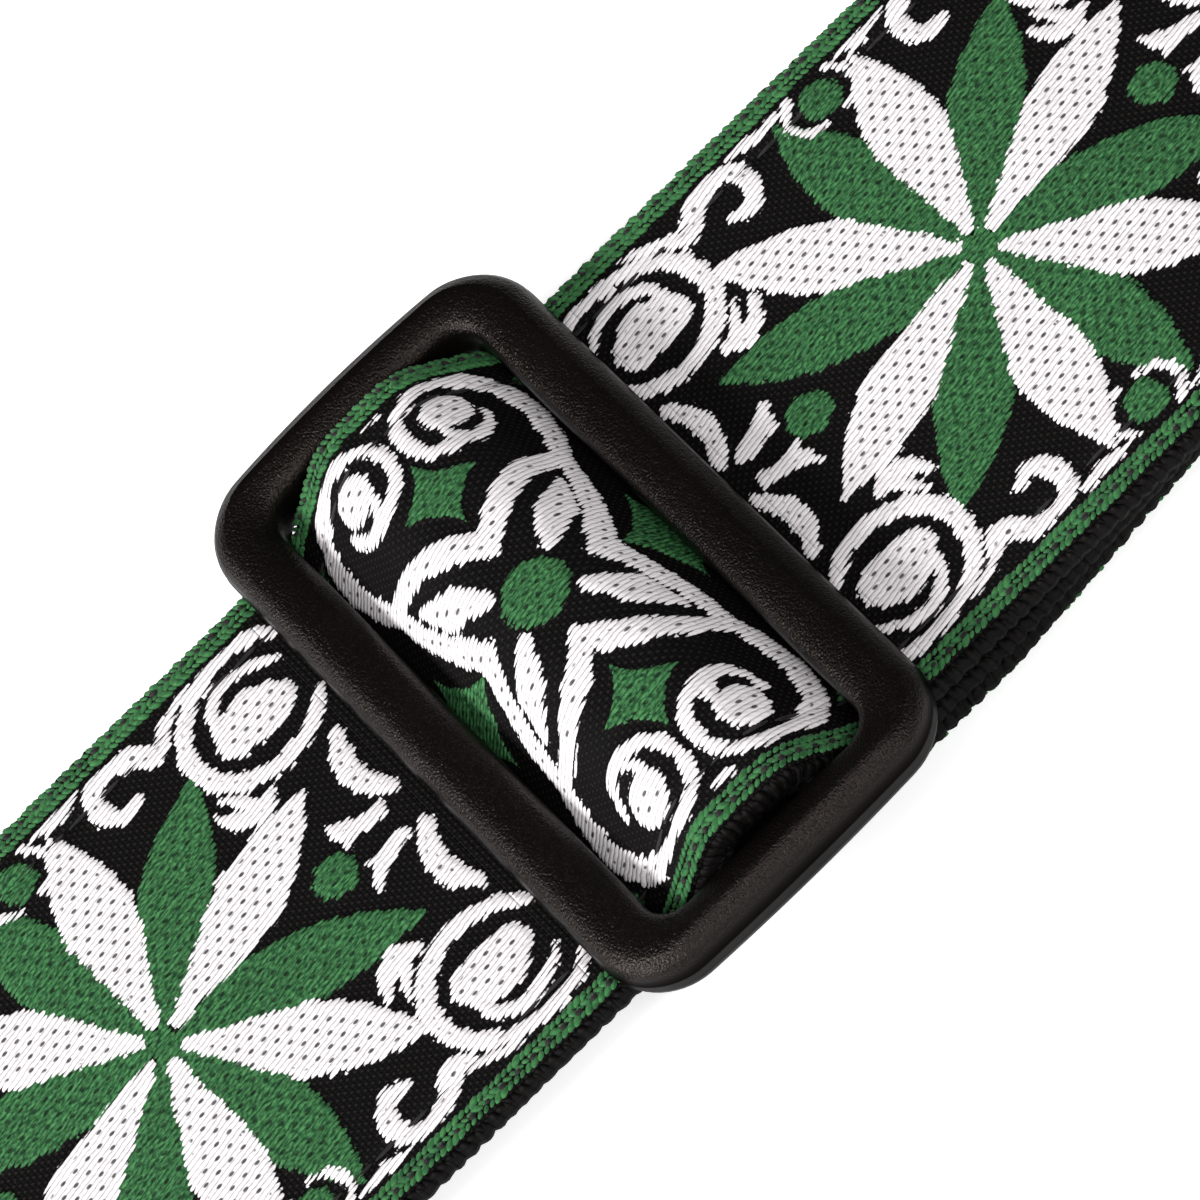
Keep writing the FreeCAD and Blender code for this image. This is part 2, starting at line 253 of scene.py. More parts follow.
@dataclass(frozen=True)
class Stroke:
    """A drawn line of changing width, in millimetres from a motif's centre."""

    points: tuple[tuple[float, float], ...]
    widths: tuple[float, ...]
    steps: int = 7

    def distance(self, a: np.ndarray, b: np.ndarray) -> np.ndarray:
        """Signed distance to the stroke's outline.

        Args:
            a: places along the ribbon.
            b: places across the ribbon.

        Returns:
            The distances, below zero inside.
        """
        knots = np.array([self.points[0], *self.points, self.points[-1]])
        marks = np.linspace(0, len(self.points) - 1, (len(self.points) - 1) * self.steps + 1)
        index = np.minimum(marks.astype(int), len(self.points) - 2)
        t = (marks - index)[:, None]
        p0, p1, p2, p3 = (knots[index + offset] for offset in range(4))
        bend = (2 * p0 - 5 * p1 + 4 * p2 - p3) * t**2 + (3 * p1 - p0 - 3 * p2 + p3) * t**3
        path = (2 * p1 + (p2 - p0) * t + bend) / 2
        halves = np.interp(marks, np.linspace(0, len(self.points) - 1, len(self.widths)), self.widths) / 2
        best = np.full(a.shape, FAR)
        for start, end, r0, r1 in zip(path, path[1:], halves, halves[1:]):
            run = end - start
            share = ((a - start[0]) * run[0] + (b - start[1]) * run[1]) / max(float(run @ run), 1e-9)
            share = np.clip(share, 0, 1)
            away = np.hypot(a - start[0] - share * run[0], b - start[1] - share * run[1])
            best = np.minimum(best, away - r0 - (r1 - r0) * share)
        return best


@dataclass(frozen=True)
class Petals:
    """The rosette's twelve petals: white and green in turn."""

    angles: tuple[float, ...] = (18.5, 48.5, 77.0)
    reaches: tuple[float, ...] = (22.4, 22.4, 22.0)
    touch: float = 12.0
    half: float = 3.15
    bow: float = 0.0035
    bow_from: float = 6.0
    point: float = 1.9
    slopes: tuple[float, float] = (0.262, 0.45)
    cores: tuple[float, float] = (1.4, 0.3)

    def distance(self, a: np.ndarray, b: np.ndarray, colour: int) -> np.ndarray:
        """Distance to the petals of one colour, 0 for white and 1 for green."""
        best = np.full(a.shape, FAR)
        bow = self.bow if colour else -self.bow
        turns = [(angle, reach) for angle, reach in zip(self.angles, self.reaches)]
        turns += [(180 - angle, reach) for angle, reach in reversed(turns)]
        turns += [(180 + angle, reach) for angle, reach in turns]
        for index, (angle, reach) in enumerate(turns):
            if index % 2 != colour:
                continue
            c, s = math.cos(math.radians(angle)), math.sin(math.radians(angle))
            t = a * c + b * s
            n = np.abs(b * c - a * s + bow * np.maximum(t - self.bow_from, 0) ** 2)
            share = np.clip((t - self.touch) / (reach - self.touch), 0, 1)
            leaf = self.half * (1 - share**self.point)
            side = n - np.minimum(self.slopes[colour] * t, leaf)
            best = np.minimum(best, np.where((t < self.cores[colour]) | (t > reach), FAR, side))
        return best


ROSETTE_STROKES = (
    Stroke(
        ((27.4, 20.4), (25.2, 21.9), (21.5, 21.9), (17.8, 20.4), (15.9, 17.4), (16.1, 14.2), (18.0, 12.0),
         (21.2, 11.0), (24.6, 11.7), (26.9, 13.6)),
        (0.9, 1.25, 1.2, 1.45, 1.7, 1.75, 1.7, 1.5, 1.4, 0.9),
    ),
    Stroke(((18.9, 16.4), (19.5, 18.9), (21.8, 20.1), (24.4, 19.5), (26.2, 18.3)), (1.1, 1.0, 1.1, 0.9, 0.6)),
    Stroke(((19.4, 15.6), (21.6, 16.0), (23.6, 15.6)), (3.2, 4.9, 3.6)),
    Stroke(
        ((19.4, 22.5), (16.6, 21.3), (14.5, 19.9), (12.6, 21.3), (10.4, 22.1), (8.7, 21.2), (8.2, 19.3),
         (9.3, 17.7), (11.1, 17.9)),
        (0.5, 1.0, 2.0, 2.0, 1.5, 1.8, 1.8, 1.5, 0.9),
    ),
    Stroke(((18.5, 9.7), (17.0, 9.2), (15.4, 9.9), (14.4, 11.4)), (1.0, 1.9, 1.5, 0.7)),
    Stroke(((17.2, 9.9), (16.3, 11.4), (15.6, 12.4)), (1.4, 1.0, 0.5)),
    Stroke(((8.0, 22.5), (5.6, 22.0), (3.3, 22.3)), (0.6, 1.1, 0.5)),
    Stroke(((2.0, 22.3), (3.2, 20.6), (2.5, 18.7), (0.9, 18.1)), (0.6, 0.8, 0.8, 0.4)),
    Stroke(((19.7, 3.6), (21.0, 2.2), (23.6, 1.5)), (0.6, 1.7, 1.4)),
    Stroke(((20.0, 1.2), (21.6, 1.9)), (0.5, 1.2)),
    Stroke(((25.3, 9.3), (24.2, 7.2), (24.2, 4.6), (25.5, 2.3)), (1.3, 2.1, 2.1, 1.3)),
    Stroke(((29.2, 11.0), (28.4, 7.6), (29.0, 4.0), (31.2, 2.0)), (0.9, 1.6, 1.6, 0.8)),
    Stroke(((31.0, 23.0), (30.2, 19.4), (31.4, 16.2), (29.6, 14.4)), (0.7, 1.5, 1.4, 0.7)),
)
CROSS_STROKES = (
    Stroke(((5.3, -0.4), (7.0, 2.9), (8.6, 6.6), (9.4, 10.5)), (2.3, 2.2, 1.9, 1.7)),
    Stroke(((-0.4, 5.5), (2.3, 8.0), (5.4, 9.9), (9.4, 10.7)), (2.2, 2.2, 1.9, 1.6)),
    Stroke(
        ((9.3, 10.2), (10.7, 13.4), (11.3, 17.0), (10.3, 20.1), (7.9, 21.9), (5.1, 22.2), (2.2, 21.2)),
        (1.7, 2.0, 2.2, 2.2, 1.9, 1.3, 0.8),
    ),
    Stroke(((2.8, 2.4), (5.0, 5.1), (7.3, 7.9)), (0.9, 2.9, 0.7)),
    Stroke(
        ((7.4, 17.4), (6.2, 15.6), (4.1, 15.0), (1.8, 16.0), (0.9, 18.4), (1.7, 20.8), (4.2, 22.1)),
        (0.8, 1.1, 1.2, 1.2, 1.2, 1.2, 1.1),
    ),
    Stroke(((4.6, 18.6), (5.0, 18.8)), (3.7, 3.7)),
    Stroke(((3.6, 17.6), (3.6, 16.4), (4.4, 15.4)), (1.0, 0.8, 0.8)),
    Stroke(((-0.8, 22.3), (0.8, 22.3)), (0.6, 0.6)),
    Stroke(((14.6, 22.4), (14.0, 20.0)), (0.7, 0.9)),
)
GREEN_DISCS = (
    ("rosette", 17.8, 0.0, 1.9),
    ("rosette", 0.0, 20.3, 1.75),
    ("rosette", 0.0, 0.0, 1.3),
    ("cross", 0.0, 0.0, 2.75),
    ("cross", 13.6, 20.3, 1.0),
)
CROSS_STARS = ((0.0, 12.7, 3.6, 3.7), (11.6, 0.0, 4.6, 5.4))


class Jacquard:
    """The ribbon's own pattern, as signed distances in millimetres.

    Rosettes and crosses take turns along the ribbon. The scrolls mirror about each centre and about
    the ribbon's middle, so they are drawn once, for the quarter where along and across are positive.
    """

    STEP = 0.1
    MARGIN = 0.3

    def __init__(self, sizes: StrapSizes) -> None:
        """Draw the quarter once, as two tables of distances."""
        self.sizes = sizes
        a = np.arange(0, sizes.repeat / 2 + self.STEP, self.STEP)
        b = np.arange(0, sizes.ribbon_width / 2 + self.STEP, self.STEP)
        a, b = np.meshgrid(a, b, indexing="ij")
        c = sizes.repeat / 2 - a
        white = np.full(a.shape, FAR)
        for stroke in ROSETTE_STROKES:
            white = np.minimum(white, stroke.distance(a, b))
        for stroke in CROSS_STROKES:
            white = np.minimum(white, stroke.distance(c, b))
        green = np.full(a.shape, FAR)
        for place, x, y, radius in GREEN_DISCS:
            green = np.minimum(green, self.disc(a if place == "rosette" else c, b, x, y, radius))
        for star in CROSS_STARS:
            green = np.minimum(green, self.star(c, b, *star))
        self.tables = white, green

    @staticmethod
    def disc(a: np.ndarray, b: np.ndarray, x: float, y: float, r: float) -> np.ndarray:
        """Distance to a disc."""
        return np.hypot(a - x, b - y) - r

    @staticmethod
    def star(a: np.ndarray, b: np.ndarray, x: float, y: float, along: float, across: float) -> np.ndarray:
        """Distance to a diamond with hollow sides."""
        power = 0.72
        inside = (np.abs(a - x) / along) ** power + (np.abs(b - y) / across) ** power
        return (inside ** (1 / power) - 1) * min(along, across)

    def distances(self, along: np.ndarray, across: np.ndarray) -> tuple[np.ndarray, np.ndarray]:
        """White and green distances at places on the ribbon."""
        repeat = self.sizes.repeat
        a = np.mod(along, repeat) - repeat / 2
        row = np.rint(np.abs(a) / self.STEP).astype(int)
        column = np.rint(np.abs(across) / self.STEP).astype(int)
        white, green = (table[row, column] for table in self.tables)
        petals = Petals()
        white = np.minimum(white, petals.distance(a, across, 0))
        return white, np.minimum(green, petals.distance(a, across, 1))

    def floats(self, along: np.ndarray, across: np.ndarray) -> dict[Yarn, np.ndarray]:
        """How far inside each colour's floats a place is, from -1.5 to 1.5 millimetres.

        Args:
            along: fabric length at each place.
            across: place across the ribbon.

        Returns:
            The depth in each colour, above zero inside.
        """
        white, green = self.distances(along, across)
        edge = np.abs(across) - self.sizes.ribbon_width / 2 + self.sizes.selvedge + self.MARGIN
        depths = {Yarn.WHITE: white, Yarn.GREEN: green}
        return {
            yarn: np.clip(-np.maximum(depth, edge), -DEEPEST, DEEPEST) for yarn, depth in depths.items()
        }


# ---------------------------------------------------------------- mesh helpers


def make_mesh(name: str, points: np.ndarray, faces: list, smooth: bool = True) -> bpy.types.Object:
    """A mesh object in metres.

    Args:
        name: the piece's name.
        points: vertices in millimetres.
        faces: vertex indices of each face.
        smooth: whether its faces are shaded smooth.

    Returns:
        The new object, linked to the scene.
    """
    mesh = bpy.data.meshes.new(name)
    mesh.from_pydata((np.asarray(points, float) * MM).tolist(), [], faces)
    mesh.update()
    mesh.polygons.foreach_set("use_smooth", np.full(len(mesh.polygons), smooth))
    piece = bpy.data.objects.new(name, mesh)
    bpy.context.scene.collection.objects.link(piece)
    return piece


def grid_quads(rows: int, columns: int) -> list:
    """Quads of a grid of rows by columns of vertices."""
    index = np.arange(rows * columns).reshape(rows, columns)
    quads = np.stack([index[:-1, :-1], index[1:, :-1], index[1:, 1:], index[:-1, 1:]], axis=-1)
    return quads.reshape(-1, 4).tolist()


def tube_quads(rings: int, around: int, closed: bool = False) -> list:
    """Quads that join rings of vertices, with the last ring joined to the first if closed."""
    index = np.arange(rings * around).reshape(rings, around)
    following = np.roll(index, -1, axis=0) if closed else index[1:]
    current = index if closed else index[:-1]
    beside, following_beside = np.roll(current, -1, axis=1), np.roll(following, -1, axis=1)
    return np.stack([current, following, following_beside, beside], axis=-1).reshape(-1, 4).tolist()


def capped_tube(rings: int, around: int) -> list:
    """Faces of a tube of rings of vertices, with a cap on each end."""
    last = (rings - 1) * around
    caps = [tuple(range(around)), tuple(range(last, last + around))[::-1]]
    return tube_quads(rings, around) + caps


def store(piece: bpy.types.Object, name: str, kind: str, values: np.ndarray) -> None:
    """Store a number or a vector on each vertex of a piece.

    Args:
        piece: the piece.
        name: the attribute's name.
        kind: FLOAT or FLOAT_VECTOR.
        values: one row for each vertex.
    """
    layer = piece.data.attributes.new(name, kind, "POINT")
    label = "vector" if kind == "FLOAT_VECTOR" else "value"
    layer.data.foreach_set(label, np.asarray(values, np.float32).ravel())


def bake_modifiers(piece: bpy.types.Object) -> bpy.types.Object:
    """Turn a piece's modifiers into its plain mesh."""
    bpy.context.view_layer.update()
    evaluated = piece.evaluated_get(bpy.context.evaluated_depsgraph_get())
    mesh = bpy.data.meshes.new_from_object(evaluated)
    old = piece.data
    piece.modifiers.clear()
    piece.data = mesh
    mesh.name = piece.name
    bpy.data.meshes.remove(old)
    return piece


def rounded_loop(
    half_x: float, half_y: float, radius: float, straight: int, corner: int
) -> np.ndarray:
    """Points round a rounded rectangle, the same number on each straight and corner.

    Returns:
        An array of X, Y and the outward direction's X, Y.
    """
    points = []
    for quarter in range(4):
        turn = quarter * math.pi / 2
        sx, sy = [(1, 1), (-1, 1), (-1, -1), (1, -1)][quarter]
        nx, ny = [(-1, 1), (-1, -1), (1, -1), (1, 1)][quarter]
        cx, cy = sx * (half_x - radius), sy * (half_y - radius)
        for step in range(corner + 1):
            angle = turn + math.pi / 2 * step / corner
            u, v = math.cos(angle), math.sin(angle)
            points.append((cx + radius * u, cy + radius * v, u, v))
        u, v = math.cos(turn + math.pi / 2), math.sin(turn + math.pi / 2)
        ex, ey = nx * (half_x - radius), ny * (half_y - radius)
        for step in range(1, straight):
            share = step / straight
            x, y = cx + (ex - cx) * share, cy + (ey - cy) * share
            points.append((x + radius * u, y + radius * v, u, v))
    return np.array(points)


# ---------------------------------------------------------------- node helpers


class Graph:
    """A node tree with short calls for what the finishes need."""

    def __init__(self, tree: bpy.types.NodeTree) -> None:
        """Wrap a node tree."""
        self.tree = tree

    def add(self, kind: str, **values: object) -> bpy.types.Node:
        """A new node with its properties set."""
        node = self.tree.nodes.new(kind)
        for key, value in values.items():
            setattr(node, key, value)
        return node

    def feed(self, socket: bpy.types.NodeSocket, value: object) -> None:
        """Link a socket, or set a plain value, to an input."""
        if isinstance(value, bpy.types.NodeSocket):
            self.tree.links.new(value, socket)
        elif value is not None:
            socket.default_value = value

    def math(self, operation: str, *values: object, clamp: bool = False) -> bpy.types.NodeSocket:
        """A Math node's result."""
        node = self.add("ShaderNodeMath", operation=operation, use_clamp=clamp)
        for socket, value in zip(node.inputs, values):
            self.feed(socket, value)
        return node.outputs[0]

    def vector(self, operation: str, *values: object) -> bpy.types.NodeSocket:
        """A Vector Math node's vector."""
        node = self.add("ShaderNodeVectorMath", operation=operation)
        for socket, value in zip(node.inputs, values):
            self.feed(socket, value)
        return node.outputs[0]

    def mix(self, share: object, a: object, b: object) -> bpy.types.NodeSocket:
        """A colour between two."""
        node = self.add("ShaderNodeMix", data_type="RGBA")
        self.feed(node.inputs["Factor"], share)
        self.feed(node.inputs[6], a)
        self.feed(node.inputs[7], b)
        return node.outputs[2]

    def noise(self, where: object, scale: float, detail: float = 2.0) -> bpy.types.NodeSocket:
        """A noise texture's value."""
        node = self.add("ShaderNodeTexNoise")
        self.feed(node.inputs["Vector"], where)
        node.inputs["Scale"].default_value = scale
        node.inputs["Detail"].default_value = detail
        return node.outputs[0]

    def span(self, value: object, low: float, high: float, a: float, b: float) -> bpy.types.NodeSocket:
        """A value moved from one range to another, clamped."""
        node = self.add("ShaderNodeMapRange")
        for index, item in enumerate((value, low, high, a, b)):
            self.feed(node.inputs[index], item)
        return node.outputs[0]

    def attribute(self, name: str, output: str = "Fac") -> bpy.types.NodeSocket:
        """A mesh attribute."""
        return self.add("ShaderNodeAttribute", attribute_name=name).outputs[output]

    def group(self, tree: bpy.types.NodeTree, **values: object) -> bpy.types.Node:
        """A node group with its inputs fed by name."""
        node = self.add("ShaderNodeGroup", node_tree=tree)
        for key, value in values.items():
            self.feed(node.inputs[key.replace("_", " ")], value)
        return node


def new_group(
    name: str, inputs: Sequence[tuple[str, str, object]], outputs: Sequence[tuple[str, str]]
) -> tuple[bpy.types.NodeTree, Graph, bpy.types.Node, bpy.types.Node]:
    """An empty shader node group.

    Args:
        name: the group's name.
        inputs: name, socket type and default of each input.
        outputs: name and socket type of each output.

    Returns:
        The tree, its graph, its input node and its output node.
    """
    tree = bpy.data.node_groups.new(name, "ShaderNodeTree")
    for label, kind, default in inputs:
        socket = tree.interface.new_socket(label, in_out="INPUT", socket_type=kind)
        if default is not None:
            socket.default_value = default
    for label, kind in outputs:
        tree.interface.new_socket(label, in_out="OUTPUT", socket_type=kind)
    graph = Graph(tree)
    return tree, graph, graph.add("NodeGroupInput"), graph.add("NodeGroupOutput")


def yarn_group() -> bpy.types.NodeTree:
    """Round twisted yarns along the fabric, with uneven tones and painted shade in their valleys and grooves.
    """
    tree, g, source, sink = new_group(
        "laid_yarns",
        [
            ("Fabric", "NodeSocketVector", None),
            ("Pitch", "NodeSocketFloat", 0.47),
            ("Twist", "NodeSocketFloat", 0.5),
        ],
        [("Height", "NodeSocketFloat"), ("Shade", "NodeSocketFloat")],
    )
    parts = g.add("ShaderNodeSeparateXYZ")
    g.feed(parts.inputs[0], source.outputs["Fabric"])
    along, across = parts.outputs[0], parts.outputs[1]
    wobble = g.math("MULTIPLY", g.math("SUBTRACT", g.noise(source.outputs["Fabric"], 0.6), 0.5), 0.35)
    count = g.math("DIVIDE", g.math("ADD", across, wobble), source.outputs["Pitch"])
    phase = g.math("FRACT", count)
    dome = g.math("MULTIPLY", g.math("MULTIPLY", phase, g.math("SUBTRACT", 1.0, phase)), 4.0)
    round_top = g.math("POWER", dome, 0.6)
    wind = g.math("ADD", g.math("MULTIPLY", along, 9.0), g.math("MULTIPLY", phase, 5.0))
    strands = g.math("MULTIPLY", g.math("ADD", g.math("SINE", wind), 1.0), 0.5)
    twisted = g.math("MULTIPLY", g.math("MULTIPLY", strands, source.outputs["Twist"]), 0.35)
    height = g.math("SUBTRACT", round_top, twisted)
    single = g.add("ShaderNodeTexWhiteNoise", noise_dimensions="2D")
    place = g.add("ShaderNodeCombineXYZ")
    g.feed(place.inputs[0], g.math("FLOOR", count))
    g.feed(place.inputs[1], g.math("FLOOR", g.math("DIVIDE", along, 2.3)))
    g.feed(single.inputs["Vector"], place.outputs[0])
    uneven = g.span(single.outputs["Value"], 0.0, 1.0, 0.86, 1.08)
    # Painted shade: each yarn is painted darker towards the valleys beside it.
    valley_painted_shade = g.span(round_top, 0.0, 0.7, 0.45, 1.0)
    # Painted shade in the twist's grooves, times a random tone for each yarn (uneven).
    tone_and_painted_shade = g.math("MULTIPLY", g.math("MULTIPLY", uneven, valley_painted_shade), g.span(twisted, 0.0, 0.35, 1.0, 0.72))
    g.feed(sink.inputs["Height"], height)
    g.feed(sink.inputs["Shade"], tone_and_painted_shade)
    return tree


def tie_group() -> bpy.types.NodeTree:
    """Small dents in staggered rows where long floats are tied down."""
    tree, g, source, sink = new_group(
        "tied_points",
        [
            ("Fabric", "NodeSocketVector", None),
            ("Along", "NodeSocketFloat", 1.3),
            ("Across", "NodeSocketFloat", 0.941),
            ("Length", "NodeSocketFloat", 0.25),
            ("Width", "NodeSocketFloat", 0.14),
        ],
        [("Dent", "NodeSocketFloat")],
    )
    parts = g.add("ShaderNodeSeparateXYZ")
    g.feed(parts.inputs[0], source.outputs["Fabric"])
    line = g.math("DIVIDE", parts.outputs[1], source.outputs["Across"])
    lane = g.math("FLOOR", line)
    shift = g.math("MULTIPLY", g.math("PINGPONG", lane, 1.0), 0.5)
    spot = g.math("ADD", g.math("DIVIDE", parts.outputs[0], source.outputs["Along"]), shift)
    offsets = []
    for value, pitch, size in ((spot, "Along", "Length"), (line, "Across", "Width")):
        middle = g.math("SUBTRACT", g.math("FRACT", value), 0.5)
        reach = g.math("MULTIPLY", middle, source.outputs[pitch])
        share = g.math("ABSOLUTE", g.math("DIVIDE", reach, source.outputs[size]))
        offsets.append(g.math("POWER", share, 2.0))
    away = g.math("SQRT", g.math("ADD", *offsets))
    g.feed(sink.inputs["Dent"], g.span(away, 0.75, 1.25, 1.0, 0.0))
    return tree


def float_edge_group() -> bpy.types.NodeTree:
    """Ragged edges of a float area, one tooth for each yarn."""
    tree, g, source, sink = new_group(
        "float_edges",
        [
            ("Fabric", "NodeSocketVector", None),
            ("Depth", "NodeSocketFloat", 0.0),
            ("Pitch", "NodeSocketFloat", 0.43),
            ("Seed", "NodeSocketFloat", 0.0),
        ],
        [("Mask", "NodeSocketFloat"), ("Deep", "NodeSocketFloat")],
    )
    parts = g.add("ShaderNodeSeparateXYZ")
    g.feed(parts.inputs[0], source.outputs["Fabric"])
    count = g.math("DIVIDE", parts.outputs[1], source.outputs["Pitch"])
    phase = g.math("FRACT", count)
    dome = g.math("MULTIPLY", g.math("MULTIPLY", phase, g.math("SUBTRACT", 1.0, phase)), 4.0)
    tooth = g.add("ShaderNodeTexWhiteNoise", noise_dimensions="3D")
    place = g.add("ShaderNodeCombineXYZ")
    g.feed(place.inputs[0], g.math("FLOOR", count))
    g.feed(place.inputs[1], g.math("FLOOR", g.math("DIVIDE", parts.outputs[0], 1.4)))
    g.feed(place.inputs[2], source.outputs["Seed"])
    g.feed(tooth.inputs["Vector"], place.outputs[0])
    ragged = g.math("MULTIPLY", g.math("SUBTRACT", tooth.outputs["Value"], 0.5), 0.4)
    rounded = g.math("MULTIPLY", g.math("SUBTRACT", dome, 0.62), 0.34)
    fuzz = g.math("MULTIPLY", g.math("SUBTRACT", g.noise(source.outputs["Fabric"], 4.0), 0.5), 0.25)
    total = g.math("ADD", g.math("ADD", source.outputs["Depth"], ragged), g.math("ADD", rounded, fuzz))
    g.feed(sink.inputs["Mask"], g.span(total, -0.03, 0.05, 0.0, 1.0))
    g.feed(sink.inputs["Deep"], g.span(source.outputs["Depth"], 0.6, 0.8, 0.0, 1.0))
    return tree


def plain_weave_group() -> bpy.types.NodeTree:
    """A fine over-and-under weave with loose lint specks."""
    tree, g, source, sink = new_group(
        "plain_weave",
        [
            ("Fabric", "NodeSocketVector", None),
            ("Warp", "NodeSocketFloat", 0.36),
            ("Weft", "NodeSocketFloat", 0.4),
            ("Lint", "NodeSocketFloat", 0.5),
        ],
        [("Height", "NodeSocketFloat"), ("Lint", "NodeSocketFloat")],
    )
    parts = g.add("ShaderNodeSeparateXYZ")
    g.feed(parts.inputs[0], source.outputs["Fabric"])
    turns = [
        g.math("DIVIDE", g.math("MULTIPLY", parts.outputs[0], math.pi), source.outputs["Weft"]),
        g.math("DIVIDE", g.math("MULTIPLY", parts.outputs[1], math.pi), source.outputs["Warp"]),
    ]
    over = g.math("MULTIPLY", g.math("SINE", turns[0]), g.math("SINE", turns[1]))
    ridge = g.math("ABSOLUTE", over)
    g.feed(sink.inputs["Height"], g.math("ADD", g.math("MULTIPLY", over, 0.5), ridge))
    fine = g.noise(source.outputs["Fabric"], 5.5, 3.0)
    level = g.math("SUBTRACT", 0.78, g.math("MULTIPLY", source.outputs["Lint"], 0.12))
    specks = g.math("GREATER_THAN", fine, level)
    g.feed(sink.inputs["Lint"], g.math("MULTIPLY", specks, source.outputs["Lint"]))
    return tree


def grain_group() -> bpy.types.NodeTree:
    """Fine pebbles, as on moulded plastic or leather."""
    tree, g, source, sink = new_group(
        "pebble_grain",
        [
            ("Place", "NodeSocketVector", None),
            ("Scale", "NodeSocketFloat", 3500.0),
            ("Rough", "NodeSocketFloat", 0.5),
        ],
        [("Height", "NodeSocketFloat"), ("Wear", "NodeSocketFloat")],
    )
    cells = g.add("ShaderNodeTexVoronoi", feature="SMOOTH_F1")
    g.feed(cells.inputs["Vector"], source.outputs["Place"])
    g.feed(cells.inputs["Scale"], source.outputs["Scale"])
    fine = g.add("ShaderNodeTexNoise")
    g.feed(fine.inputs["Vector"], source.outputs["Place"])
    g.feed(fine.inputs["Scale"], g.math("MULTIPLY", source.outputs["Scale"], 1.6))
    pebble = g.math("SUBTRACT", 1.0, cells.outputs["Distance"])
    extra = g.math("MULTIPLY", g.math("SUBTRACT", fine.outputs[0], 0.5), source.outputs["Rough"])
    g.feed(sink.inputs["Height"], g.math("ADD", pebble, extra))
    broad = g.noise(source.outputs["Place"], 90.0, 4.0)
    g.feed(sink.inputs["Wear"], g.span(broad, 0.35, 0.7, 0.0, 1.0))
    return tree


# ---------------------------------------------------------------- finishes


def principled(name: str) -> tuple[bpy.types.Material, Graph, bpy.types.Node]:
    """A material with a Principled shader."""
    material = bpy.data.materials.new(name)
    material.use_nodes = True
    graph = Graph(material.node_tree)
    return material, graph, material.node_tree.nodes["Principled BSDF"]


def bump(g: Graph, shader: bpy.types.Node, height: object, distance: float, strength: float) -> None:
    """Feed a height to the shader's normal through a Bump node."""
    node = g.add("ShaderNodeBump")
    node.inputs["Strength"].default_value = strength
    node.inputs["Distance"].default_value = distance
    g.feed(node.inputs["Height"], height)
    g.feed(shader.inputs["Normal"], node.outputs[0])


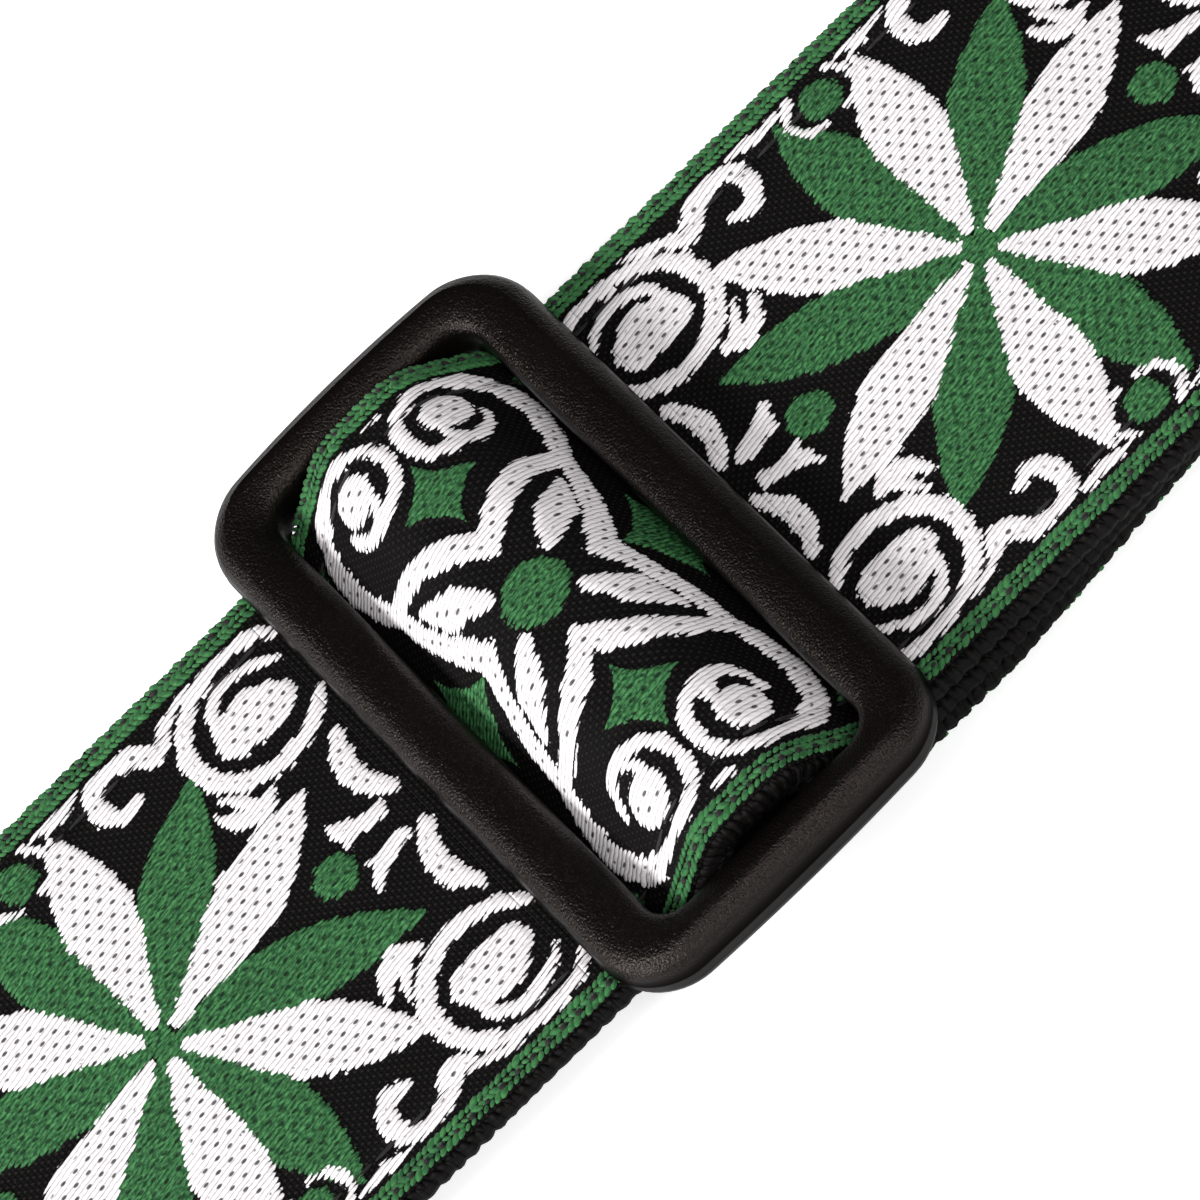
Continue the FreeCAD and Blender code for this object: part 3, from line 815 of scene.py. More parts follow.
@dataclass(frozen=True)
class JacquardFinish:
    """White and green floats on a fine black ground."""

    groups: dict
    white: tuple = (0.86, 0.82, 0.835, 1)
    green: tuple = (0.007, 0.062, 0.017, 1)
    green_light: tuple = (0.062, 0.225, 0.075, 1)
    # ground and ridge: painted shade and highlight of the black ground's weave, darker in its hollows and
    # lighter on its crossings.
    ground: tuple = (0.0022, 0.0018, 0.0018, 1)
    ridge: tuple = (0.012, 0.0097, 0.009, 1)
    lint: tuple = (0.075, 0.05, 0.042, 1)
    slant: float = 9.5
    streak: tuple = (0.75, 1.5, 1.0)
    streak_scale: float = 2.8
    heather_range: tuple = (0.38, 0.62)
    # Powers on the yarns' tone and painted shade: white floats take less of the painted shade than green.
    painted_shade_powers: tuple = (1.1, 0.65)
    tie_shades: tuple = (0.66, 0.88)
    relief: float = 0.00011

    def build(self) -> bpy.types.Material:
        """The material, which reads the cells' attributes."""
        material, g, shader = principled("jacquard")
        fabric = g.attribute("fabric", "Vector")
        slanted = g.add("ShaderNodeMapping")
        slanted.inputs["Rotation"].default_value = (0, 0, math.radians(-self.slant))
        g.feed(slanted.inputs["Vector"], fabric)
        yarns = g.group(self.groups["yarns"], Fabric=slanted.outputs[0], Pitch=0.43, Twist=0.45)
        plain = g.group(self.groups["plain"], Fabric=fabric, Lint=0.6)
        ties = g.group(self.groups["ties"], Fabric=fabric)
        edges = []
        for seed, yarn in enumerate((Yarn.WHITE, Yarn.GREEN)):
            depth = g.attribute(yarn.value)
            edges.append(g.group(self.groups["edges"], Fabric=slanted.outputs[0], Depth=depth, Seed=seed))
        white, green = (edge.outputs["Mask"] for edge in edges)
        deep = g.math("MAXIMUM", *(edge.outputs["Deep"] for edge in edges))
        bind = g.math("MULTIPLY", deep, ties.outputs["Dent"])
        floats = g.math("ADD", white, green, clamp=True)
        streaks = g.vector("MULTIPLY", slanted.outputs[0], self.streak)
        heather = g.span(g.noise(streaks, self.streak_scale, 4.0), *self.heather_range, 0.0, 1.0)
        heathered = g.mix(heather, self.green, self.green_light)
        # Painted shade and highlight: the ground weave is coloured by its own height, darker low and lighter
        # high.
        woven_with_painted_light = g.mix(g.span(plain.outputs["Height"], 0.3, 1.4, 0, 1), self.ground, self.ridge)
        base = g.mix(plain.outputs["Lint"], woven_with_painted_light, self.lint)
        base = g.mix(green, base, heathered)
        base = g.mix(white, base, self.white)
        # The floats are darkened by the yarns' painted shade and random tone, and by dark tie points; the
        # ground is left as it is.
        tone_and_painted_shade = g.add("ShaderNodeMix", data_type="FLOAT")
        g.feed(tone_and_painted_shade.inputs["Factor"], floats)
        tone_and_painted_shade.inputs[2].default_value = 1.0
        power = g.span(white, 0, 1, *self.painted_shade_powers)
        g.feed(tone_and_painted_shade.inputs[3], g.math("POWER", yarns.outputs["Shade"], power))
        tied = g.math("MULTIPLY", bind, g.span(white, 0, 1, *self.tie_shades))
        level = g.math("MULTIPLY", tone_and_painted_shade.outputs[0], g.math("SUBTRACT", 1.0, tied))
        tone_with_painted_shade = g.add("ShaderNodeCombineColor")
        for socket in tone_with_painted_shade.inputs:
            g.feed(socket, level)
        product = g.add("ShaderNodeMix", data_type="RGBA", blend_type="MULTIPLY")
        product.inputs["Factor"].default_value = 1.0
        g.feed(product.inputs[6], base)
        g.feed(product.inputs[7], tone_with_painted_shade.outputs[0])
        g.feed(shader.inputs["Base Color"], product.outputs[2])
        height = g.add("ShaderNodeMix", data_type="FLOAT")
        g.feed(height.inputs["Factor"], floats)
        g.feed(height.inputs[2], g.math("MULTIPLY", plain.outputs["Height"], 0.7))
        g.feed(height.inputs[3], yarns.outputs["Height"])
        dipped = g.math("SUBTRACT", height.outputs[0], g.math("MULTIPLY", bind, 0.8))
        bump(g, shader, dipped, self.relief, 0.9)
        shader.inputs["Roughness"].default_value = 0.75
        g.feed(shader.inputs["Specular IOR Level"], g.span(floats, 0, 1, 0.12, 0.25))
        return material


@dataclass(frozen=True)
class YarnFinish:
    """Twisted thread, for stitches and the ribbon's selvedge."""

    name: str
    dark: tuple
    light: tuple
    scale: float = 2600.0
    rough: float = 0.65

    def build(self) -> bpy.types.Material:
        """The material, with fine fibres along the thread."""
        material, g, shader = principled(self.name)
        place = g.add("ShaderNodeTexCoord").outputs["Object"]
        stretched = g.vector("MULTIPLY", place, (0.55, 1.0, 1.0))
        fibres = g.noise(stretched, self.scale, 3.0)
        g.feed(shader.inputs["Base Color"], g.mix(g.span(fibres, 0.3, 0.7, 0, 1), self.dark, self.light))
        bump(g, shader, fibres, 0.00012, 0.8)
        shader.inputs["Roughness"].default_value = self.rough
        shader.inputs["Specular IOR Level"].default_value = 0.3
        shader.inputs["Sheen Weight"].default_value = 0.1
        return material


@dataclass(frozen=True)
class WebbingFinish:
    """Black webbing: slanted yarns in ribs across the strap."""

    groups: dict
    # dark and light: the webbing's black with painted shade low in the weave and a painted highlight on the
    # raised yarns.
    dark: tuple = (0.0014, 0.0012, 0.0012, 1)
    light: tuple = (0.0065, 0.0055, 0.0052, 1)
    slant: float = 58.0

    def build(self) -> bpy.types.Material:
        """The material, which reads the fabric coordinates."""
        material, g, shader = principled("webbing")
        fabric = g.attribute("fabric", "Vector")
        turned = g.add("ShaderNodeMapping")
        turned.inputs["Rotation"].default_value = (0, 0, math.radians(self.slant))
        g.feed(turned.inputs["Vector"], fabric)
        yarns = g.group(self.groups["yarns"], Fabric=turned.outputs[0], Pitch=0.85, Twist=0.4)
        plain = g.group(self.groups["plain"], Fabric=fabric, Warp=1.7, Weft=0.75, Lint=0.35)
        height = g.math("ADD", yarns.outputs["Height"], g.math("MULTIPLY", plain.outputs["Height"], 0.9))
        # Painted shade and highlight: the colour follows the yarns' painted shade and the weave's height,
        # lighter where higher.
        tint = g.math("MULTIPLY", yarns.outputs["Shade"], g.span(height, 0.2, 1.6, 0.2, 1.0))
        g.feed(shader.inputs["Base Color"], g.mix(tint, self.dark, self.light))
        bump(g, shader, height, 0.00022, 0.9)
        shader.inputs["Roughness"].default_value = 0.6
        shader.inputs["Specular IOR Level"].default_value = 0.08
        return material


@dataclass(frozen=True)
class PlasticFinish:
    """Black moulded plastic with a fine grain, and painted highlights on its peaks, where its grain attribute
    says.
    """

    name: str
    groups: dict
    # light: the warm colour of the painted highlights on the grain's peaks and of the random wear patches.
    dark: tuple = (0.0008, 0.0007, 0.0007, 1)
    light: tuple = (0.0052, 0.0036, 0.0029, 1)
    tint: tuple = (1.0, 0.84, 0.76, 1)
    speculars: tuple = (0.04, 0.34)
    relief: float = 0.000085

    def build(self) -> bpy.types.Material:
        """The material, which reads the grain attribute."""
        material, g, shader = principled(self.name)
        place = g.add("ShaderNodeTexCoord").outputs["Object"]
        grain = g.group(self.groups["grain"], Place=place, Scale=5200.0, Rough=0.9)
        share = g.attribute("grain")
        height = g.math("MULTIPLY", grain.outputs["Height"], share)
        # Painted highlight: the grain's peaks are painted lighter, as much as the grain attribute; broad
        # random wear adds to it.
        painted_peak_highlight = g.math("MULTIPLY", g.span(grain.outputs["Height"], 0.55, 1.1, 0, 1), share)
        wear_and_painted_highlight = g.math("MULTIPLY", g.math("ADD", painted_peak_highlight, grain.outputs["Wear"]), 0.5)
        g.feed(shader.inputs["Base Color"], g.mix(wear_and_painted_highlight, self.dark, self.light))
        bump(g, shader, height, self.relief, 0.9)
        rough = g.math("SUBTRACT", 0.38, g.math("MULTIPLY", grain.outputs["Wear"], 0.1))
        g.feed(shader.inputs["Roughness"], rough)
        g.feed(shader.inputs["Specular IOR Level"], g.span(share, 0, 1, *self.speculars))
        shader.inputs["Specular Tint"].default_value = self.tint
        return material


@dataclass(frozen=True)
class LeatherFinish:
    """Black leather with an uneven pebble grain, duller in its creases."""

    groups: dict
    # dark and light: painted shade in the grain's creases and a painted highlight on its pebble tops.
    dark: tuple = (0.008, 0.0065, 0.006, 1)
    light: tuple = (0.030, 0.023, 0.019, 1)

    def build(self) -> bpy.types.Material:
        """The material."""
        material, g, shader = principled("leather")
        place = g.add("ShaderNodeTexCoord").outputs["Object"]
        coarse = g.group(self.groups["grain"], Place=place, Scale=1100.0, Rough=0.9)
        fine = g.group(self.groups["grain"], Place=place, Scale=3900.0, Rough=0.6)
        height = g.math("ADD", coarse.outputs["Height"], g.math("MULTIPLY", fine.outputs["Height"], 0.3))
        # Painted shade and highlight: the colour is darker in the grain's creases and lighter on its tops,
        # varied by random wear.
        creases = g.span(coarse.outputs["Height"], 0.45, 0.95, 0.0, 1.0)
        tone_with_painted_shade = g.math("MULTIPLY", creases, g.span(coarse.outputs["Wear"], 0, 1, 0.4, 1.0))
        g.feed(shader.inputs["Base Color"], g.mix(tone_with_painted_shade, self.dark, self.light))
        bump(g, shader, height, 0.00018, 0.7)
        g.feed(shader.inputs["Roughness"], g.span(creases, 0, 1, 0.62, 0.42))
        shader.inputs["Specular IOR Level"].default_value = 0.4
        return material


# ---------------------------------------------------------------- repeated pieces


def bead_tree() -> bpy.types.NodeTree:
    """Geometry nodes that lay one thread bead on every point, aimed by the points' attributes."""
    tree = bpy.data.node_groups.new("thread_beads", "GeometryNodeTree")
    sockets = [
        ("Geometry", "NodeSocketGeometry", None),
        ("Length", "NodeSocketFloat", 0.001),
        ("Width", "NodeSocketFloat", 0.0005),
        ("Thickness", "NodeSocketFloat", 0.0004),
        ("Uneven", "NodeSocketFloat", 0.08),
        ("Seed", "NodeSocketInt", 7),
        ("Sides", "NodeSocketInt", 6),
        ("Rings", "NodeSocketInt", 4),
        ("Material", "NodeSocketMaterial", None),
    ]
    for label, kind, default in sockets:
        socket = tree.interface.new_socket(label, in_out="INPUT", socket_type=kind)
        if default is not None:
            socket.default_value = default
    tree.interface.new_socket("Geometry", in_out="OUTPUT", socket_type="NodeSocketGeometry")
    g = Graph(tree)
    source, sink = g.add("NodeGroupInput"), g.add("NodeGroupOutput")
    ball = g.add("GeometryNodeMeshUVSphere")
    g.feed(ball.inputs["Segments"], source.outputs["Sides"])
    g.feed(ball.inputs["Rings"], source.outputs["Rings"])
    ball.inputs["Radius"].default_value = 0.5
    smooth = g.add("GeometryNodeSetShadeSmooth")
    g.feed(smooth.inputs["Geometry"], ball.outputs["Mesh"])
    lying = g.add("GeometryNodeTransform")
    g.feed(lying.inputs["Geometry"], smooth.outputs[0])
    lying.inputs["Rotation"].default_value = (0, math.pi / 2, 0)
    aims = []
    for label in ("aim", "up"):
        named = g.add("GeometryNodeInputNamedAttribute", data_type="FLOAT_VECTOR")
        named.inputs["Name"].default_value = label
        aims.append(named.outputs[0])
    first = g.add("FunctionNodeAlignRotationToVector", axis="X")
    g.feed(first.inputs["Vector"], aims[0])
    second = g.add("FunctionNodeAlignRotationToVector", axis="Z", pivot_axis="X")
    g.feed(second.inputs["Rotation"], first.outputs[0])
    g.feed(second.inputs["Vector"], aims[1])
    size = g.add("ShaderNodeCombineXYZ")
    for index, label in enumerate(("Length", "Width", "Thickness")):
        g.feed(size.inputs[index], source.outputs[label])
    low = g.math("SUBTRACT", 1.0, source.outputs["Uneven"])
    high = g.math("ADD", 1.0, source.outputs["Uneven"])
    spread = g.add("FunctionNodeRandomValue", data_type="FLOAT")
    g.feed(spread.inputs[2], low)
    g.feed(spread.inputs[3], high)
    g.feed(spread.inputs["Seed"], source.outputs["Seed"])
    scale = g.add("ShaderNodeVectorMath", operation="SCALE")
    g.feed(scale.inputs[0], size.outputs[0])
    g.feed(scale.inputs["Scale"], spread.outputs[1])
    placed = g.add("GeometryNodeInstanceOnPoints")
    g.feed(placed.inputs["Points"], source.outputs["Geometry"])
    g.feed(placed.inputs["Instance"], lying.outputs[0])
    g.feed(placed.inputs["Rotation"], second.outputs[0])
    g.feed(placed.inputs["Scale"], scale.outputs[0])
    real = g.add("GeometryNodeRealizeInstances")
    g.feed(real.inputs[0], placed.outputs[0])
    dressed = g.add("GeometryNodeSetMaterial")
    g.feed(dressed.inputs["Geometry"], real.outputs[0])
    g.feed(dressed.inputs["Material"], source.outputs["Material"])
    g.feed(sink.inputs[0], dressed.outputs[0])
    return tree


@dataclass(frozen=True)
class Bead:
    """Size of one bead of thread and the length from bead to bead, in millimetres, and its mesh."""

    length: float
    width: float
    thick: float
    pitch: float
    sides: int = 6
    rings: int = 4
    uneven: float = 0.06


BRAID_BEAD = Bead(0.95, 0.52, 0.3, 0.62, uneven=0.3)
SPECK_BEAD = Bead(0.62, 0.48, 0.24, 1.55, uneven=0.2)
SEAM_BEAD = Bead(2.5, 0.34, 0.24, 2.9, sides=8, rings=6)
SADDLE_BEAD = Bead(2.9, 0.75, 0.55, 3.4, sides=8, rings=6)
LOOP_BEAD = Bead(2.8, 0.6, 0.4, 3.2, sides=8, rings=6)
BRAID_ROWS = ((0.25, -38, 0), (0.85, 22, 0.5), (1.45, -30, 0.9))


class Workshop:
    """What every sub-assembly shares: sizes, stations, finishes and the bead tree."""

    def __init__(self) -> None:
        """Make the finishes and the geometry nodes once."""
        self.sizes = StrapSizes()
        self.at = Stations.from_frame()
        self.groups = {"yarns": yarn_group(), "plain": plain_weave_group(), "grain": grain_group()}
        self.groups["ties"] = tie_group()
        self.groups["edges"] = float_edge_group()
        self.weave = Jacquard(self.sizes)
        self.jacquard = JacquardFinish(self.groups).build()
        self.webbing = WebbingFinish(self.groups).build()
        self.plastic = PlasticFinish("moulded_plastic", self.groups).build()
        self.leather = LeatherFinish(self.groups).build()
        black = (0.004, 0.0035, 0.0035, 1), (0.02, 0.018, 0.017, 1)
        green = (0.008, 0.075, 0.018, 1), (0.038, 0.19, 0.05, 1)
        self.black_thread = YarnFinish("black_thread", *black).build()
        self.selvedge = YarnFinish("green_selvedge", *green).build()
        self.beads = bead_tree()

    def lay_beads(
        self,
        name: str,
        points: np.ndarray,
        aims: np.ndarray,
        ups: np.ndarray,
        bead: Bead,
        material: bpy.types.Material,
    ) -> bpy.types.Object:
        """A piece of thread beads.

        Args:
            name: the piece's name.
            points: where each bead's middle is, in millimetres.
            aims: the direction along each bead.
            ups: the direction out of the surface under each bead.
            bead: the bead's size.
            material: its material.

        Returns:
            The piece, as a plain mesh.
        """
        piece = make_mesh(name, points, [])
        for label, vectors in (("aim", aims), ("up", ups)):
            store(piece, label, "FLOAT_VECTOR", vectors)
        modifier = piece.modifiers.new("beads", "NODES")
        modifier.node_group = self.beads
        values = {
            "Length": bead.length * MM,
            "Width": bead.width * MM,
            "Thickness": bead.thick * MM,
            "Uneven": bead.uneven,
            "Sides": bead.sides,
            "Rings": bead.rings,
            "Material": material,
        }
        for item in self.beads.interface.items_tree:
            if item.item_type == "SOCKET" and item.in_out == "INPUT" and item.name in values:
                modifier[item.identifier] = values[item.name]
        return bake_modifiers(piece)


# ---------------------------------------------------------------- straps


def dress(piece: bpy.types.Object, material: bpy.types.Material) -> bpy.types.Object:
    """Give a piece its material."""
    piece.data.materials.clear()
    piece.data.materials.append(material)
    return piece


@dataclass(frozen=True)
class RibbonRelief:
    """How the ribbon's face rises and falls, in millimetres."""

    floats: float = 0.2
    float_slope: float = 0.7
    groove: float = 0.26
    groove_half: float = 0.5
    roll: float = 0.32
    roll_wide: float = 0.8
    sunk: float = 0.12
    foot: float = 0.01


@dataclass(frozen=True)
class WebbingEdge:
    """How the webbing's edge bulges at each turn of the weft, in millimetres."""

    wide: float = 1.1
    pitch: float = 1.45
    skew: float = 0.8
    knot: float = 0.3
    rise: float = 0.16
    sink: float = 0.04
    upper: float = -0.5
    split: float = 0.17
    split_deep: float = 0.85
    inset: float = 0.15


RIBBON_RELIEF = RibbonRelief()
WEBBING_EDGE = WebbingEdge()


@dataclass
class StrapLength:
    """One length of strap: webbing, jacquard ribbon, selvedge and the stitches along it."""

    shop: Workshop
    name: str
    path: BeltPath
    nodes: tuple[str, ...]
    attach: Callable[[bpy.types.Object], None]
    sections: tuple[tuple[str, float, float], ...] = (("", 1.0, 0.5),)
    held: str = "laid"
    lift: Callable[[np.ndarray, np.ndarray], np.ndarray] | None = None
    widen: Callable[[np.ndarray], np.ndarray] | None = None
    aside: float = 0.0

    FINE_ROW = 0.4
    ASIDE_FROM, ASIDE_OVER, ASIDE_FADE = 22.0, 25.0, 150.0
    WEBBING_ROW = 0.375

    def place(self, along: np.ndarray, across: np.ndarray, out: np.ndarray) -> np.ndarray:
        """Points in space.

        Args:
            along: fabric length of each point.
            across: place across the strap.
            out: height above the line between webbing and ribbon.

        Returns:
            An array of X, Y, Z in millimetres.
        """
        x, z, heading = self.path.sample(along)
        raised = out if self.lift is None else out + self.lift(along, across)
        across = across if self.widen is None else across * self.widen(along)
        if self.aside:
            at = self.shop.at
            moved = np.clip((x - at.slider - self.ASIDE_FROM) / self.ASIDE_OVER, 0, 1)
            faded = np.clip((at.fold_start - x) / self.ASIDE_FADE, 0, 1)
            across = across + self.aside * (moved * faded)
        return np.stack([x - np.sin(heading) * raised, across, z + np.cos(heading) * raised], axis=-1)

    def rows(self, step: float, start: float = 0.0, end: float = 1.0) -> np.ndarray:
        """Fabric lengths of the grid's rows, between two shares of the path's length."""
        length = self.path.end - self.path.start
        count = max(2, round(length * (end - start) / step) + 1)
        return self.path.start + length * np.linspace(start, end, count)

    def finish(self, piece: bpy.types.Object, nodes: Sequence[str]) -> None:
        """Attach a piece and hide the CAD nodes that it stands for."""
        self.attach(piece)
        if nodes:
            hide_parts(*nodes)

    def tag(self, piece: bpy.types.Object, along: np.ndarray, across: np.ndarray) -> None:
        """Store the fabric coordinates of each vertex."""
        store(piece, "fabric", "FLOAT_VECTOR", np.stack([along, across, np.zeros_like(along)], axis=-1))

    def build_ribbon(self, name: str, along: np.ndarray) -> bpy.types.Object:
        """The jacquard ribbon as a thin closed band, one face for each cell of the weave.

        Args:
            name: the piece's name.
            along: fabric lengths of its rows.

        Returns:
            The piece.
        """
        sizes = self.shop.sizes
        half = sizes.ribbon_width / 2
        fine = along[1] - along[0] < self.FINE_ROW
        across = np.linspace(-half, half, (sizes.fine_yarns if fine else sizes.yarns) + 1)
        s, y = np.meshgrid(along, across, indexing="ij")
        drawn = s + sizes.slip * np.clip((s - sizes.slip_from) / sizes.slip_over, 0, 1)
        depths = self.shop.weave.floats(drawn, y)
        deepest = np.maximum(depths[Yarn.WHITE], depths[Yarn.GREEN])
        relief = RIBBON_RELIEF
        floated = relief.floats * np.clip(0.5 + deepest / relief.float_slope, 0, 1)
        inset = half - sizes.stitch_inset
        groove = relief.groove * np.exp(-(((np.abs(y) - inset) / relief.groove_half) ** 2))
        rolled = relief.roll * np.clip((np.abs(y) - half + relief.roll_wide) / relief.roll_wide, 0, 1) ** 2
        out = sizes.ribbon_thick + floated - groove - rolled - relief.sunk
        top = self.place(s.ravel(), y.ravel(), out.ravel())
        edge_s, edge_y = np.meshgrid(along, [-half, half], indexing="ij")
        low = self.place(edge_s.ravel(), edge_y.ravel(), np.full(edge_s.size, relief.foot))
        count, columns = along.size, across.size
        faces = grid_quads(count, columns)
        first = count * columns
        for i in range(count - 1):
            a, b = first + 2 * i, first + 2 * i + 2
            left, right = i * columns, i * columns + columns - 1
            faces.append((left, a, b, left + columns))
            faces.append((right, right + columns, b + 1, a + 1))
            faces.append((a, a + 1, b + 1, b))
        faces.append((*range(columns - 1, -1, -1), first, first + 1)[::-1])
        tail = (count - 1) * columns
        end = first + 2 * (count - 1)
        faces.append((*range(tail, tail + columns), end + 1, end)[::-1])
        piece = make_mesh(name, np.concatenate([top, low]), faces)
        self.tag(piece, *(np.concatenate([a.ravel(), b.ravel()]) for a, b in ((s, edge_s), (y, edge_y))))
        for yarn, depth in depths.items():
            values = np.concatenate([depth.ravel(), np.full(edge_s.size, -DEEPEST)])
            store(piece, yarn.value, "FLOAT", values)
        dress(piece, self.shop.jacquard)
        return piece

    def build_webbing(self) -> bpy.types.Object:
        """The webbing as a closed band whose edges bulge where the weft turns."""
        sizes = self.shop.sizes
        along = self.rows(self.WEBBING_ROW)
        half, thick = sizes.webbing_width / 2, sizes.webbing_thick
        side = [(-1.0, 0.0), (-0.3, -0.02), (-0.08, -0.2), (0.0, -0.42), (0.0, -0.64), (0.0, -0.85)]
        side += [(0.0, -1.06), (-0.02, -1.28), (-0.1, -1.46), (-0.35, -thick)]
        right = [(half + y, d) for y, d in side + [(-8.0, -thick)]]
        left = [(-y, d) for y, d in reversed(right)]
        loop = np.array(right + [(0.0, -thick)] + left)
        around = len(loop)
        s = np.repeat(along, around)
        y, d = np.tile(loop[:, 0], along.size), np.tile(loop[:, 1], along.size)
        edge = WEBBING_EDGE
        near_edge = np.clip((np.abs(y) - half + edge.wide) / edge.wide, 0, 1)
        drift = 0.8 * np.sin(s / 4.7) + 0.5 * np.sin(s / 2.3 + 1.0) + 0.3 * np.sin(s / 1.1 + 2.0)
        knot = np.abs(np.sin(math.pi * s / edge.pitch + np.sign(y) * edge.skew + drift)) ** 0.8 - 0.5
        knot = knot * (0.8 + 0.35 * np.sin(s / 3.1 + 0.4))
        split = 0.35 * np.cos(2 * math.pi * d / edge.split_deep)
        y = y + np.sign(y) * near_edge * (knot * edge.knot + split * edge.split - edge.inset)
        d = d + near_edge * knot * np.where(d > edge.upper, edge.rise, -edge.sink)
        faces = capped_tube(along.size, around)
        piece = make_mesh(f"belt_{self.name}", self.place(s, y, d), faces)
        self.tag(piece, s, y)
        dress(piece, self.shop.webbing)
        return piece

    def beads_along(
        self, kind: str, rows: Sequence[tuple[float, float, float]], out: float, bead: Bead,
        material: bpy.types.Material,
    ) -> None:
        """A piece of beads in rows along the strap.

        Args:
            kind: the first part of the piece's name.
            rows: place across, slant in degrees and share of half the pitch to shift by, of each row.
            out: height of the beads above the line between webbing and ribbon.
            bead: the bead's size and pitch.
            material: its material.
        """
        pitch, ahead_by = bead.pitch, 0.1
        base = np.arange(math.floor(self.path.start / pitch) - 1, self.path.end / pitch + 1) * pitch
        points, aims, ups = [], [], []
        for across, slant, shift in rows:
            along = base + pitch * (0.5 + shift * 0.5)
            along = along[(along >= self.path.start) & (along < self.path.end)]
            y = np.full(along.size, across)
            here = self.place(along, y, np.full(along.size, out))
            ahead = self.place(along + ahead_by, y, np.full(along.size, out))
            outward = self.place(along, y, np.full(along.size, out + ahead_by))
            forward = (ahead - here) / np.linalg.norm(ahead - here, axis=1)[:, None]
            turn = math.radians(slant)
            points.append(here)
            aims.append(forward * math.cos(turn) + np.array([0, 1, 0]) * math.sin(turn))
            ups.append((outward - here) / ahead_by)
        joined = [np.concatenate(group) for group in (points, aims, ups)]
        piece = self.shop.lay_beads(f"{kind}_{self.name}", *joined, bead, material)
        self.finish(piece, [])

    def build(self) -> None:
        """Make the length's ribbon, webbing, selvedge, binding specks and seam."""
        sizes = self.shop.sizes
        start = 0.0
        for suffix, end, row in self.sections:
            ribbon = self.build_ribbon(f"jacquard_{self.name}{suffix}", self.rows(row, start, end))
            self.finish(ribbon, [node for node in self.nodes if node.startswith("ribbon")])
            start = end
        webbing = self.build_webbing()
        self.finish(webbing, [node for node in self.nodes if node.startswith("webbing")])
        edge, up = sizes.ribbon_width / 2, sizes.ribbon_thick
        braid = [
            (sign * (edge - inset), sign * slant, shift)
            for sign in (-1, 1)
            for inset, slant, shift in BRAID_ROWS
        ]
        specks = [(0.6 - edge, 20, 0.4), (edge - 0.6, -20, 0)]
        inset = edge - sizes.stitch_inset
        seam = [(-inset, 2, 0), (inset, 2, 0)]
        thread = self.shop.black_thread
        self.beads_along("selvedge", braid, up - 0.07, BRAID_BEAD, self.shop.selvedge)
        self.beads_along("binding", specks, up + 0.05, SPECK_BEAD, thread)
        self.beads_along("seam", seam, up - 0.27, SEAM_BEAD, thread)
        LOG.info("%s: %.0f mm of strap", self.name, self.path.end - self.path.start)


@dataclass(frozen=True)
class StrapRoute:
    """Where the main strap bends and changes, in millimetres from the part that each value names."""

    dip: float = 11.6
    dip_radius: float = 2.0
    out_of_leather: tuple[float, float] = (2.0, 18.0)
    leather_radius: float = 20.0
    climb: tuple[float, float] = (140.0, 40.0)
    easy_radius: float = 150.0
    past_tail: tuple[float, float] = (2.0, 55.0)
    fold_lead: float = 4.0
    fold_radius: float = 25.0
    loop_low: float = 9.1
    loop_low_radius: float = 5.0
    loop_under_radius: float = 4.0
    loop_high: float = 10.2
    loop_high_radius: float = 3.0
    clearance: float = 0.1
    near: float = 60.0
    stretch_a: float = 10.0
    stretch_slider: tuple[float, float] = (45.0, 65.0)
    return_aside: float = 2.5
    tail_aside: float = 1.7
    crown: float = 0.9
    crown_half: float = 17.0
    widening: float = 0.025
    wide_to: float = 15.0
    wide_over: float = 4.0


